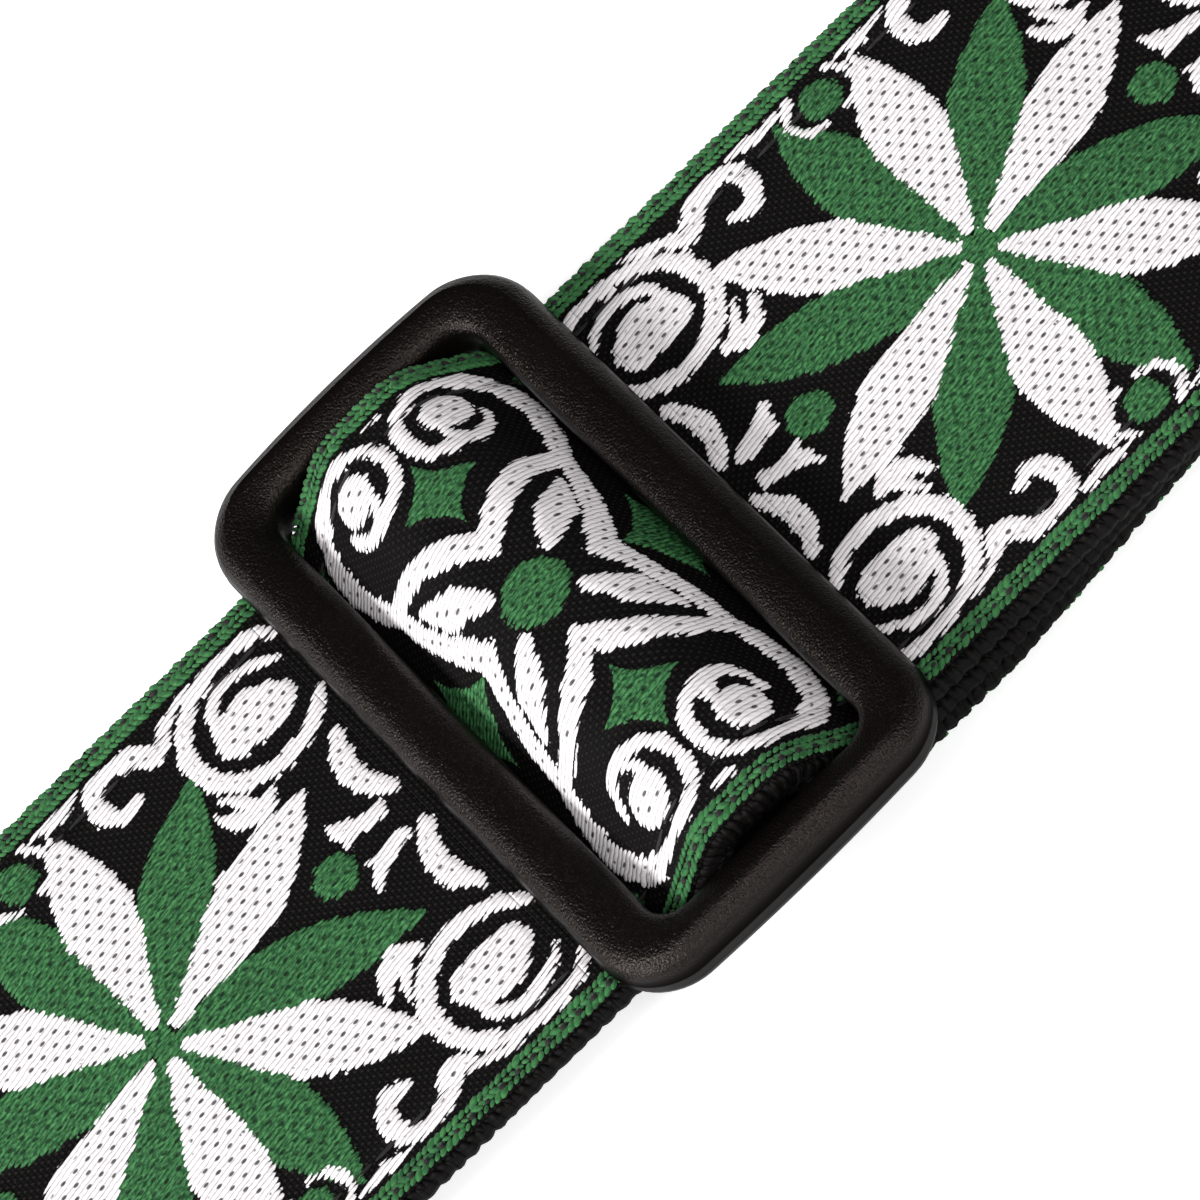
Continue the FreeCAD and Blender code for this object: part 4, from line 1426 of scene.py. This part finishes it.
class MainStrap:
    """The long strip, from end A through the slider, round the ring and back to the middle bar."""

    def __init__(self, shop: Workshop) -> None:
        """Work out the heights of the strip's layers and its wheels."""
        self.shop = shop
        sizes, at = shop.sizes, shop.at
        self.flat_up = sizes.webbing_thick
        self.flat_down = sizes.ribbon_thick
        self.second = sizes.pitch + sizes.webbing_thick
        self.third = 2 * sizes.pitch + sizes.webbing_thick
        self.route = StrapRoute()
        self.bar_end = sizes.bar_reach - sizes.bar_radius
        self.bar_z = at.slider_base + sizes.bar_radius
        self.loop_radius = sizes.bar_radius + self.route.clearance + sizes.webbing_thick
        self.over_radius = self.loop_radius + sizes.ribbon_thick + sizes.gap + sizes.webbing_thick
        self.ring_radius = at.ring_z - sizes.ribbon_thick

    def stretch(self) -> Callable[[bpy.types.Object], None]:
        """A function that bakes a piece's transform into its mesh, leaving it on no body."""

        def attach(piece: bpy.types.Object) -> None:
            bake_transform(piece)

        return attach

    def crown(self, along: np.ndarray, across: np.ndarray) -> np.ndarray:
        """How far the strap's middle lifts, and its edges drop, over the middle bar."""
        half, high = self.shop.sizes.webbing_width / 2, self.route.crown
        share = np.clip(np.abs(along) / self.route.crown_half, 0, 1)
        arch = np.clip(np.cos(share * math.pi / 2), 0, 1) ** 1.5
        return arch * (high - 2 * high * (np.abs(across) / half) ** 2.4)

    def build(self) -> None:
        """Make every length of the strip."""
        shop, at, sizes, route = self.shop, self.shop.at, self.shop.sizes, self.route
        x = at.slider
        low_turn = self.third + route.dip_radius
        over = BeltPath(
            (x - at.bar_edge, self.third),
            [
                Wheel(x - route.dip, low_turn, route.dip_radius, LEFT),
                Wheel(x - self.bar_end, self.bar_z, self.over_radius, RIGHT),
                Wheel(x + self.bar_end, self.bar_z, self.over_radius, RIGHT),
                Wheel(x + route.dip, low_turn, route.dip_radius, LEFT),
            ],
            (x + at.bar_edge, self.third),
        )
        over = self.shifted(over, -(over.start + over.end) / 2)
        in_leather = at.leather + sizes.webbing_thick
        leaves, levels = (at.leather_a + distance for distance in route.out_of_leather)
        rises, reaches = (x - distance for distance in route.climb)
        single = BeltPath(
            (at.end_a, in_leather),
            ramp(leaves, in_leather, levels, self.flat_up, route.leather_radius)
            + ramp(rises, self.flat_up, reaches, self.third, route.easy_radius),
            (x - at.bar_edge, self.third),
        )
        single = self.shifted(single, over.start - single.end)
        falls, settles = (at.tail_end + distance for distance in route.past_tail)
        top = BeltPath(
            (x + at.bar_edge, self.third),
            ramp(falls, self.third, settles, self.second, route.easy_radius),
            (at.fold_start, self.second),
            over.end,
        )
        lead, lead_radius = at.fold_start + route.fold_lead, route.fold_radius
        fold = BeltPath(
            (at.fold_start, self.second),
            [
                Wheel(lead, self.second + lead_radius, lead_radius, LEFT),
                Wheel(at.ring_near, at.ring_z, self.ring_radius, RIGHT),
            ],
            (at.fold_start, self.flat_down),
            top.end,
        )
        back = BeltPath((at.fold_start, self.flat_down), [], (x + at.bar_edge, self.flat_down), fold.end)
        under_bar = at.slider_base - route.clearance - sizes.webbing_thick
        low, under, high = route.loop_low_radius, route.loop_under_radius, route.loop_high_radius
        loop = BeltPath(
            (x + at.bar_edge, self.flat_down),
            [
                Wheel(x + route.loop_low, self.flat_down + low, low, RIGHT),
                Wheel(x - route.clearance, under_bar - under, under, LEFT),
                Wheel(x - self.bar_end, self.bar_z, self.loop_radius, RIGHT),
                Wheel(x + self.bar_end, self.bar_z, self.loop_radius, RIGHT),
                Wheel(x + route.loop_high, self.second + high, high, LEFT),
            ],
            (at.tail_end, self.second),
            back.end,
        )
        to_slider = self.stretch()
        to_fold = self.stretch()
        on_slider, on_fold = self.ride("slider"), self.ride("fold")
        fed = (("_far", 1 - route.near / (single.end - single.start), 0.5), ("_near", 1.0, 0.2))
        shown = (("_near", route.near / (top.end - top.start), 0.2), ("_far", 1.0, 0.5))
        fine, middling, coarse = ((("", 1.0, row),) for row in (0.2, 0.5, 0.8))
        lengths = [
            ("single", single, ("single_run", "single_feed"), to_slider, fed, "laid", {}),
            ("over_bar", over, ("over_bar",), on_slider, fine, "stretched",
             {"lift": self.crown, "widen": self.widen}),
            ("top", top, ("top_run", "top_feed"), to_fold, shown, "laid", {}),
            ("fold", fold, ("ring_fold",), on_fold, middling, "folded", {}),
            ("return", back, ("return_feed", "return_run"), to_fold, coarse, "laid",
             {"aside": route.return_aside}),
            ("bar_loop", loop, ("bar_loop",), on_slider, coarse, "folded",
             {"aside": route.tail_aside}),
        ]
        for name, path, parts, attach, sections, held, shape in lengths:
            nodes = tuple(f"{layer}_{part}" for layer in ("webbing", "ribbon") for part in parts)
            StrapLength(shop, name, path, nodes, attach, sections, held, **shape).build()

    def widen(self, along: np.ndarray) -> np.ndarray:
        """How much wider the strap spreads where it fills the slider's window."""
        route = self.route
        return 1 + route.widening * np.clip((route.wide_to - np.abs(along)) / route.wide_over, 0, 1)

    @staticmethod
    def ride(body: str) -> Callable[[bpy.types.Object], None]:
        """A function that makes a piece ride on a body."""
        return lambda piece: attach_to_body(piece, body)

    @staticmethod
    def shifted(path: BeltPath, by: float) -> BeltPath:
        """The same path with its fabric lengths moved."""
        path.parts = [(part[0] + by, *part[1:]) for part in path.parts]
        path.start += by
        path.end += by
        return path


class EndStrap:
    """The short strap at end B, looped on the ring's far bar."""

    ABOVE, BELOW, RADIUS = 7.0, 5.0, 30.0

    def __init__(self, shop: Workshop) -> None:
        """Keep the shared sizes."""
        self.shop = shop

    def build(self) -> None:
        """Make the looped strap."""
        at, sizes = self.shop.at, self.shop.sizes
        radius = at.ring_z - sizes.ribbon_thick
        low = at.leather + sizes.ribbon_thick
        high = at.leather + sizes.thick + sizes.webbing_thick
        path = BeltPath(
            (at.end_b, low),
            [
                Wheel(at.leather_b - self.BELOW, low - self.RADIUS, self.RADIUS, LEFT),
                Wheel(at.ring_far, at.ring_z, radius, RIGHT),
                Wheel(at.leather_b - self.ABOVE, high + self.RADIUS, self.RADIUS, LEFT),
            ],
            (at.end_b, high),
        )
        nodes = ("webbing_end_b", "ribbon_end_b")
        sections = (("", 1.0, 0.5),)
        StrapLength(self.shop, "end_b", path, nodes, MainStrap.ride("end_b"), sections, "folded").build()


# ---------------------------------------------------------------- moulded parts


@dataclass
class Slider:
    """Moulded tri-glide: a crowned frame with a middle bar across its window, in millimetres."""

    shop: Workshop
    half_x: float = 15.8
    half_y: float = 30.0
    corner: float = 5.5
    window_x: float = 10.5
    window_y: float = 26.25
    window_corner: float = 2.5
    height: float = 4.2
    seam: float = 0.07
    arch: float = 0.95
    bow: float = 0.7
    root: float = 1.6
    flare: float = 0.22
    bar_lift: float = 0.02
    bar_grain: float = 0.3

    def profile(self) -> list[tuple[float, float, float, float]]:
        """The frame's section.

        Returns:
            For each point: share of the way from window to outside, distance out from that, height
            above the base, and how much grain the surface has.
        """
        h = self.height
        inner = [(0, 0.4, 0.0, 0.2), (0, 0.14, 0.06, 0.2), (0, 0.02, 0.28, 0.2), (0, 0.0, 1.0, 0.2)]
        rise = [(0, 0.0, h - 1.5, 0.4), (0, 0.12, h - 0.9, 0.7)]
        rise += [(0, 0.45, h - 0.42, 1), (0, 0.95, h - 0.16, 1)]
        crown = [(0.35, 0.15, h - 0.02, 1), (0.55, 0.0, h, 1), (0.72, 0.0, h - 0.03, 1)]
        fall = [(1, -1.05, h - 0.2, 1), (1, -0.5, h - 0.52, 1)]
        fall += [(1, -0.16, h - 1.0, 0.8), (1, -0.02, h - 1.5, 0.15)]
        wall = [(1, 0.0, 2.05, 0), (1, self.seam, 1.95, 0), (1, self.seam, 1.85, 0), (1, 0.0, 1.75, 0)]
        foot = [(1, -0.02, 1.0, 0), (1, -0.2, 0.45, 0), (1, -0.6, 0.08, 0), (1, -1.1, 0.0, 0)]
        return inner + rise + crown + fall + wall + foot + [(0.5, 0.0, 0.0, 0.2)]

    def frame_points(self) -> tuple[np.ndarray, np.ndarray, int]:
        """Vertices of the frame, their grain and how many stations go round it."""
        outer = rounded_loop(self.half_x, self.half_y, self.corner, 26, 14)
        inner = rounded_loop(self.window_x, self.window_y, self.window_corner, 26, 14)
        points, grain = [], []
        at = self.shop.at
        for (ox, oy, u, v), (ix, iy, _, _) in zip(outer, inner):
            for share, out, z, rough in self.profile():
                x, y = ix + (ox - ix) * share + u * out, iy + (oy - iy) * share + v * out
                middle = max(0.0, 1 - (x / self.half_x) ** 2) * max(0.0, abs(y) / self.half_y) ** 8
                y += math.copysign(self.bow * middle * share, y)
                raised = z * (1 + self.arch / self.height * middle)
                points.append((at.slider + x, y, at.slider_base + raised))
                grain.append(rough)
        return np.array(points), np.array(grain), len(outer)

    def build(self) -> bpy.types.Object:
        """The slider, in one piece."""
        at, sizes = self.shop.at, self.shop.sizes
        points, grain, stations = self.frame_points()
        faces = tube_quads(stations, len(self.profile()), closed=True)
        faces = [tuple(reversed(face)) for face in faces]
        radius, bar_end, sides = sizes.bar_radius, sizes.bar_reach - sizes.bar_radius, 10
        ring = []
        for side, start in ((1, -90), (-1, 90)):
            for step in range(sides + 1):
                angle = math.radians(start + 180 * step / sides)
                ring.append((side * bar_end + radius * math.cos(angle), radius * math.sin(angle)))
        wall = self.window_y + self.root
        stops = [-wall, *np.linspace(-self.window_y, self.window_y, 25), wall]
        bar = []
        for y in stops:
            flare = 1 + self.flare * max(0.0, (abs(y) - self.window_y + self.root) / self.root)
            for bx, bz in ring:
                bar.append((at.slider + bx * flare, y, at.slider_base + radius + self.bar_lift + bz))
        first = len(points)
        faces += [tuple(first + i for i in face) for face in capped_tube(len(stops), len(ring))]
        piece = make_mesh("slider_body", np.concatenate([points, np.array(bar)]), faces)
        store(piece, "grain", "FLOAT", np.concatenate([grain, np.full(len(bar), self.bar_grain)]))
        dress(piece, self.shop.plastic)
        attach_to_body(piece, "slider")
        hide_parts("slider")
        LOG.info("slider: %d faces", len(faces))
        return piece


@dataclass
class Ring:
    """Moulded rectangular ring with a fine parting line, in millimetres."""

    shop: Workshop
    bar: float = 2.5
    corner: float = 3.0
    half_span: float = 29.0
    shy: float = 0.05
    seam: float = 0.04
    grain: float = 0.75

    def build(self) -> bpy.types.Object:
        """The ring, in one piece."""
        at = self.shop.at
        middle, half = (at.ring_near + at.ring_far) / 2, (at.ring_far - at.ring_near) / 2
        loop = rounded_loop(half, self.half_span, self.corner, 20, 8)
        points, sides = [], 28
        for x, y, u, v in loop:
            for step in range(sides):
                angle = 2 * math.pi * step / sides
                seam = self.seam if step in (0, sides // 2) else 0.0
                out = (self.bar - self.shy + seam) * math.cos(angle)
                up = (self.bar - self.shy) * math.sin(angle)
                points.append((middle + x + u * out, y + v * out, at.ring_z + up))
        faces = tube_quads(len(loop), sides, closed=True)
        piece = make_mesh("ring_body", np.array(points), faces)
        store(piece, "grain", "FLOAT", np.full(len(points), self.grain))
        dress(piece, self.shop.plastic)
        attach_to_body(piece, "ring")
        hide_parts("ring")
        LOG.info("ring: %d faces", len(faces))
        return piece


# ---------------------------------------------------------------- leather ends


@dataclass
class LeatherEnd:
    """The two leather layers of one end, with a strap-button hole, in millimetres."""

    shop: Workshop
    name: str
    out: int
    strap_body: str
    tab_body: str
    layers: int
    half_wide: float = 28.0
    corner: float = 5.0
    sleeve: float = 41.0
    tip_half: float = 17.0
    hole_inset: float = 20.0
    hole_radius: float = 4.5
    slit: float = 16.0
    slit_half: float = 0.8
    edge: float = 0.7
    seam_inset: float = 4.0
    cross: float = 27.0
    flex_half: float = 5.0

    def __post_init__(self) -> None:
        """Work out the end's stations along X."""
        at = self.shop.at
        self.opening = at.leather_a if self.out < 0 else at.leather_b
        self.tip = at.tip_a if self.out < 0 else at.tip_b
        self.reach = abs(self.tip - self.opening)
        self.flex = self.sleeve + 1.0
        self.under = at.leather + self.layers * self.shop.sizes.thick

    def half_width(self, t: np.ndarray, inset: float = 0.0) -> np.ndarray:
        """Half the width at a distance from the opening."""
        t = np.asarray(t, float)
        taper_from, taper_to = self.sleeve + 2.0, self.reach - self.tip_half
        share = np.clip((t - taper_from) / (taper_to - taper_from), 0, 1)
        wide = self.half_wide + (self.tip_half - self.half_wide) * share
        corner = np.clip(self.corner - t, 0, self.corner)
        wide = wide - (self.corner - np.sqrt(np.maximum(self.corner**2 - corner**2, 0)))
        beyond = np.clip(t - taper_to, 0, self.tip_half)
        tip = np.sqrt(np.maximum(self.tip_half**2 - beyond**2, 0))
        return np.where(t > taper_to, tip, wide) - inset

    def underside(self, t: np.ndarray, front: bool) -> np.ndarray:
        """Height of a layer's underside at a distance from the opening."""
        leather = self.shop.at.leather
        if not front:
            return np.zeros_like(np.asarray(t, float))
        cover = BeltPath(
            (-1.0, self.under),
            [Wheel(31.0, self.under - 3.0, 3.0, RIGHT), Wheel(40.0, leather + 5.2, 5.2, LEFT)],
            (self.reach + 1.0, leather),
        )
        x, z, _ = cover.sample(np.linspace(cover.start, cover.end, 1200))
        return np.interp(t, x, z)

    def layer(self, front: bool) -> bpy.types.Object:
        """One leather layer with rounded edges and a keyhole."""
        straight = np.linspace(self.corner, self.reach - self.tip_half, 84)
        bend = np.linspace(0, math.pi / 2, 16)
        start = self.corner * (1 - np.cos(bend))[:-1]
        tip = self.reach - self.tip_half * (1 - np.sin(bend))[1:]
        tip[-1] -= 0.02
        stations = np.concatenate([start, straight, tip])
        stations[0] = 0.01
        half, base = self.half_width(stations), self.underside(stations, front)
        thick, r = self.shop.at.leather, self.edge
        shares = [-1 + 2 * step / 12 for step in range(13)]
        arc = np.linspace(0, math.pi / 2, 5)
        points = []
        for t, wide, low in zip(stations, half, base):
            flat = max(wide - r, 0.02)
            ring = [(flat * share, low) for share in shares]
            ring += [(flat + r * math.sin(a), low + r - r * math.cos(a)) for a in arc[1:]]
            ring += [(flat + r * math.cos(a), low + thick - r + r * math.sin(a)) for a in arc]
            ring += [(-flat * share, low + thick) for share in shares[1:]]
            ring += [(-flat - r * math.sin(a), low + thick - r + r * math.cos(a)) for a in arc[1:]]
            ring += [(-flat - r * math.cos(a), low + r - r * math.sin(a)) for a in arc[:-1]]
            points += [(self.opening + self.out * t, y, z) for y, z in ring]
        faces = capped_tube(len(stations), len(ring))
        if self.out < 0:
            faces = [tuple(reversed(face)) for face in faces]
        kind = "front" if front else "back"
        piece = make_mesh(f"{self.name}_{kind}", np.array(points), faces)
        self.cut_keyhole(piece)
        dress(piece, self.shop.leather)
        return piece

    def cut_keyhole(self, piece: bpy.types.Object) -> None:
        """Cut the button hole and its slit through a layer."""
        centre = self.tip - self.out * self.hole_inset
        opening = math.asin(self.slit_half / self.hole_radius)
        toward = math.pi if self.out > 0 else 0.0
        outline = []
        for step in range(33):
            angle = toward + opening + (2 * math.pi - 2 * opening) * step / 32
            x, y = self.hole_radius * math.cos(angle), self.hole_radius * math.sin(angle)
            outline.append((centre + x, y))
        end = centre - self.out * self.slit
        side = 1 if self.out < 0 else -1
        outline += [(end, -side * self.slit_half), (end, side * self.slit_half)]
        count = len(outline)
        points = [(x, y, z) for z in (-5.0, 25.0) for x, y in outline]
        faces = [tuple(range(count))[::-1], tuple(range(count, 2 * count))]
        for i in range(count):
            j = (i + 1) % count
            faces.append((i, j, count + j, count + i))
        cutter = make_mesh("keyhole", np.array(points), faces, smooth=False)
        modifier = piece.modifiers.new("keyhole", "BOOLEAN")
        modifier.operation = "DIFFERENCE"
        modifier.solver = "EXACT"
        modifier.object = cutter
        bake_modifiers(piece)
        bpy.data.objects.remove(cutter)

    def seam_route(self) -> np.ndarray:
        """Distance from the opening and place across, at even steps round the end and across it."""
        centre, radius = self.reach - self.tip_half, self.tip_half - self.seam_inset
        bend = centre + radius * np.sin(np.linspace(0, math.pi / 2, 200))
        t = np.concatenate([np.linspace(self.seam_inset, centre, 400), bend])
        y = self.half_width(np.clip(t, self.corner, self.reach)) - self.seam_inset
        tip = t > centre
        y[tip] = np.sqrt(np.maximum(radius**2 - (t[tip] - centre) ** 2, 0))
        return np.concatenate([np.stack([t, y], 1), np.stack([t[::-1], -y[::-1]], 1)[1:]])

    def stitches(self, front: bool) -> bpy.types.Object:
        """Saddle stitches round a layer and in a cross over the strap."""
        routes = [self.seam_route()]
        side = self.half_wide - self.seam_inset
        near, far = self.seam_inset, self.cross
        corners = [(near, -side), (near, side), (far, -side), (far, side), (near, -side)]
        for a, b in zip(corners, corners[1:]):
            share = np.linspace(0, 1, 200)[:, None]
            routes.append(np.array(a) * (1 - share) + np.array(b) * share)
        places, aims = [], []
        for route in routes:
            steps = np.linalg.norm(np.diff(route, axis=0), axis=1)
            length = np.concatenate([[0], np.cumsum(steps)])
            count = max(1, int(length[-1] / SADDLE_BEAD.pitch))
            middle = (np.arange(count) + 0.5) * length[-1] / count
            here, ahead = (
                np.stack([np.interp(spot, length, route[:, axis]) for axis in (0, 1)], 1)
                for spot in (middle, middle + 0.2)
            )
            places.append(here)
            aims.append(ahead - here + 1e-9)
        place, aim = np.concatenate(places), np.concatenate(aims)
        thick = self.shop.at.leather
        lift = thick + 0.02 if front else 0.0
        z = self.underside(place[:, 0], front) + lift
        z_ahead = self.underside(place[:, 0] + aim[:, 0], front) + lift
        height = z if front else z + 0.2
        points = np.stack([self.opening + self.out * place[:, 0], place[:, 1], height], 1)
        aims3 = np.stack([self.out * aim[:, 0], aim[:, 1], z_ahead - z], 1)
        ups = np.tile([0.0, 0.0, 1.0], (len(points), 1))
        kind = "front" if front else "back"
        name, thread = f"{self.name}_stitches_{kind}", self.shop.black_thread
        piece = self.shop.lay_beads(name, points, aims3, ups, SADDLE_BEAD, thread)
        return piece

    def build(self) -> None:
        """Make the end's leather and thread, and hide the CAD nodes that they stand for."""
        for front in (False, True):
            kind = "front" if front else "back"
            leather, thread = self.layer(front), self.stitches(front)
            for piece in (leather, thread):
                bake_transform(piece)
            nodes = [f"{self.name}_sleeve_{kind}", f"{self.name}_tab_{kind}"]
            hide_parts(*(nodes + ([f"{self.name}_flex"] if front else [])))
            if front:
                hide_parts(f"{self.name}_stitching")
        LOG.info("%s: leather and thread", self.name)


class LoopSeam:
    """Thread that holds the strap's tail to the return run, by the slider."""

    FIRST, SECOND, BEFORE_END, UNDER = 24.0, 26.5, 5.0, 0.05

    def __init__(self, shop: Workshop) -> None:
        """Keep the shared sizes."""
        self.shop = shop

    def build(self) -> bpy.types.Object:
        """Rows of stitches across the underside of the return run."""
        at, sizes = self.shop.at, self.shop.sizes
        half = sizes.ribbon_width / 2 - sizes.stitch_inset
        y = np.arange(-half, half, LOOP_BEAD.pitch) + LOOP_BEAD.pitch / 2
        rows = (at.slider + self.FIRST, at.slider + self.SECOND, at.tail_end - self.BEFORE_END)
        points = np.array([(x, place, -self.UNDER) for x in rows for place in y])
        aims = np.tile([0.0, 1.0, 0.0], (len(points), 1))
        ups = np.tile([0.0, 0.0, -1.0], (len(points), 1))
        piece = self.shop.lay_beads("loop_seam", points, aims, ups, LOOP_BEAD, self.shop.black_thread)
        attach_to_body(piece, "slider")
        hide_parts("bar_loop_stitching")
        return piece


# ---------------------------------------------------------------- stage


@dataclass(frozen=True)
class Lamp:
    """A square soft lamp: its place from the target and its size in metres, and its power in watts."""

    name: str
    offset: tuple[float, float, float]
    size: float
    power: float


LAMPS = (Lamp("key", (-1.2, -0.1, 0.66), 0.45, 22.5), Lamp("fill", (0.1, -1.05, 1.0), 0.7, 11.0))


@dataclass
class Studio:
    """Pale floor, soft lamps and the camera. Lengths are in millimetres and angles in degrees."""

    shop: Workshop
    aim_x: float = 3.07
    aim_y: float = 1.31
    aim_z: float = 6.5
    turn: float = 1.9
    lift: float = 54.0
    roll: float = 42.8
    lens: float = 303.7
    wide: float = 89.4
    floor_half: float = 6000.0
    floor_z: float = -0.4
    floor_colour: tuple = (0.86, 0.86, 0.86, 1)
    floor_glow: float = 0.5
    ambient: float = 0.5
    less_mirrored: float = 0.45

    def floor(self) -> None:
        """A large pale floor, brightened for the camera, and clear from below and to bounced light."""
        size, z = self.floor_half, self.floor_z
        corners = np.array([(-size, -size, z), (size, -size, z), (size, size, z), (-size, size, z)])
        plane = make_mesh("floor", corners, [(0, 1, 2, 3)], smooth=False)
        material, g, shader = principled("pale_floor")
        shader.inputs["Base Color"].default_value = self.floor_colour
        shader.inputs["Roughness"].default_value = 0.9
        shader.inputs["Specular IOR Level"].default_value = 0.0
        seen = g.add("ShaderNodeLightPath")
        shown = seen.outputs["Is Camera Ray"]
        shader.inputs["Emission Color"].default_value = (1, 1, 1, 1)
        g.feed(shader.inputs["Emission Strength"], g.math("MULTIPLY", shown, self.floor_glow))
        below = g.add("ShaderNodeNewGeometry").outputs["Backfacing"]
        clear = g.add("ShaderNodeBsdfTransparent")
        either = g.add("ShaderNodeMixShader")
        unseen = g.math("MAXIMUM", seen.outputs["Is Shadow Ray"], seen.outputs["Is Diffuse Ray"])
        g.feed(either.inputs[0], g.math("MAXIMUM", below, unseen))
        g.feed(either.inputs[1], shader.outputs[0])
        g.feed(either.inputs[2], clear.outputs[0])
        g.feed(material.node_tree.nodes["Material Output"].inputs["Surface"], either.outputs[0])
        plane.data.materials.append(material)

    def world(self) -> None:
        """Even light from all round, white where it is seen and dim where it is mirrored."""
        world = bpy.data.worlds.new("studio")
        bpy.context.scene.world = world
        world.use_nodes = True
        g = Graph(world.node_tree)
        back = world.node_tree.nodes["Background"]
        seen = g.add("ShaderNodeLightPath")
        shown = g.math("MAXIMUM", seen.outputs["Is Camera Ray"], seen.outputs["Is Transmission Ray"])
        back.inputs["Color"].default_value = (1, 1, 1, 1)
        mirrored = g.math("MULTIPLY", seen.outputs["Is Glossy Ray"], self.less_mirrored)
        ambient = g.math("SUBTRACT", self.ambient, mirrored)
        g.feed(back.inputs["Strength"], g.math("MAXIMUM", shown, ambient))

    def light(self, lamp: Lamp, target: Vector) -> None:
        """Hang a lamp so that it points at the target."""
        light = bpy.data.lights.new(lamp.name, "AREA")
        light.size = lamp.size
        light.energy = lamp.power
        piece = bpy.data.objects.new(lamp.name, light)
        place = target + Vector(lamp.offset)
        facing = (place - target).to_track_quat("Z", "Y").to_matrix().to_4x4()
        piece.matrix_world = Matrix.Translation(place) @ facing
        bpy.context.scene.collection.objects.link(piece)

    def camera(self) -> Vector:
        """The camera, looking along the strap's slant.

        Returns:
            The point that it looks at.
        """
        at = self.shop.at
        target = Vector((at.slider + self.aim_x, self.aim_y, self.aim_z)) * MM
        turn, lift, roll = (math.radians(angle) for angle in (self.turn, self.lift, self.roll))
        level = Vector((math.cos(turn), -math.sin(turn), 0))
        flat = Vector((-math.sin(turn), -math.cos(turn), 0))
        back = flat * math.cos(lift) + Vector((0, 0, math.sin(lift)))
        across = back.cross(level)
        right = level * math.cos(roll) - across * math.sin(roll)
        up = level * math.sin(roll) + across * math.cos(roll)
        data = bpy.data.cameras.new("camera")
        data.lens = self.lens
        data.sensor_width = 36.0
        data.clip_end = 50.0
        data.clip_start = 0.01
        distance = self.wide * MM * self.lens / data.sensor_width
        camera = bpy.data.objects.new("camera", data)
        facing = Matrix((right, up, back)).transposed().to_4x4()
        camera.matrix_world = Matrix.Translation(target + back * distance) @ facing
        bpy.context.scene.collection.objects.link(camera)
        bpy.context.scene.camera = camera
        return target

    def build(self) -> None:
        """Set up the floor, world, lamps and camera."""
        target = self.camera()
        self.floor()
        self.world()
        for lamp in LAMPS:
            self.light(lamp, target)
        bpy.context.scene.view_settings.view_transform = "Standard"


# ---------------------------------------------------------------- making


def main() -> None:
    """Build the strap and its stage."""
    logging.basicConfig(level=logging.INFO, format="%(name)s %(message)s")
    shop = Workshop()
    Studio(shop).build()
    MainStrap(shop).build()
    EndStrap(shop).build()
    Slider(shop).build()
    Ring(shop).build()
    LoopSeam(shop).build()
    LeatherEnd(shop, "end_a", -1, "main_strap", "end_a_tab", 1).build()
    LeatherEnd(shop, "end_b", 1, "end_b", "end_b_tab", 2).build()


if __name__ == "__main__":
    main()
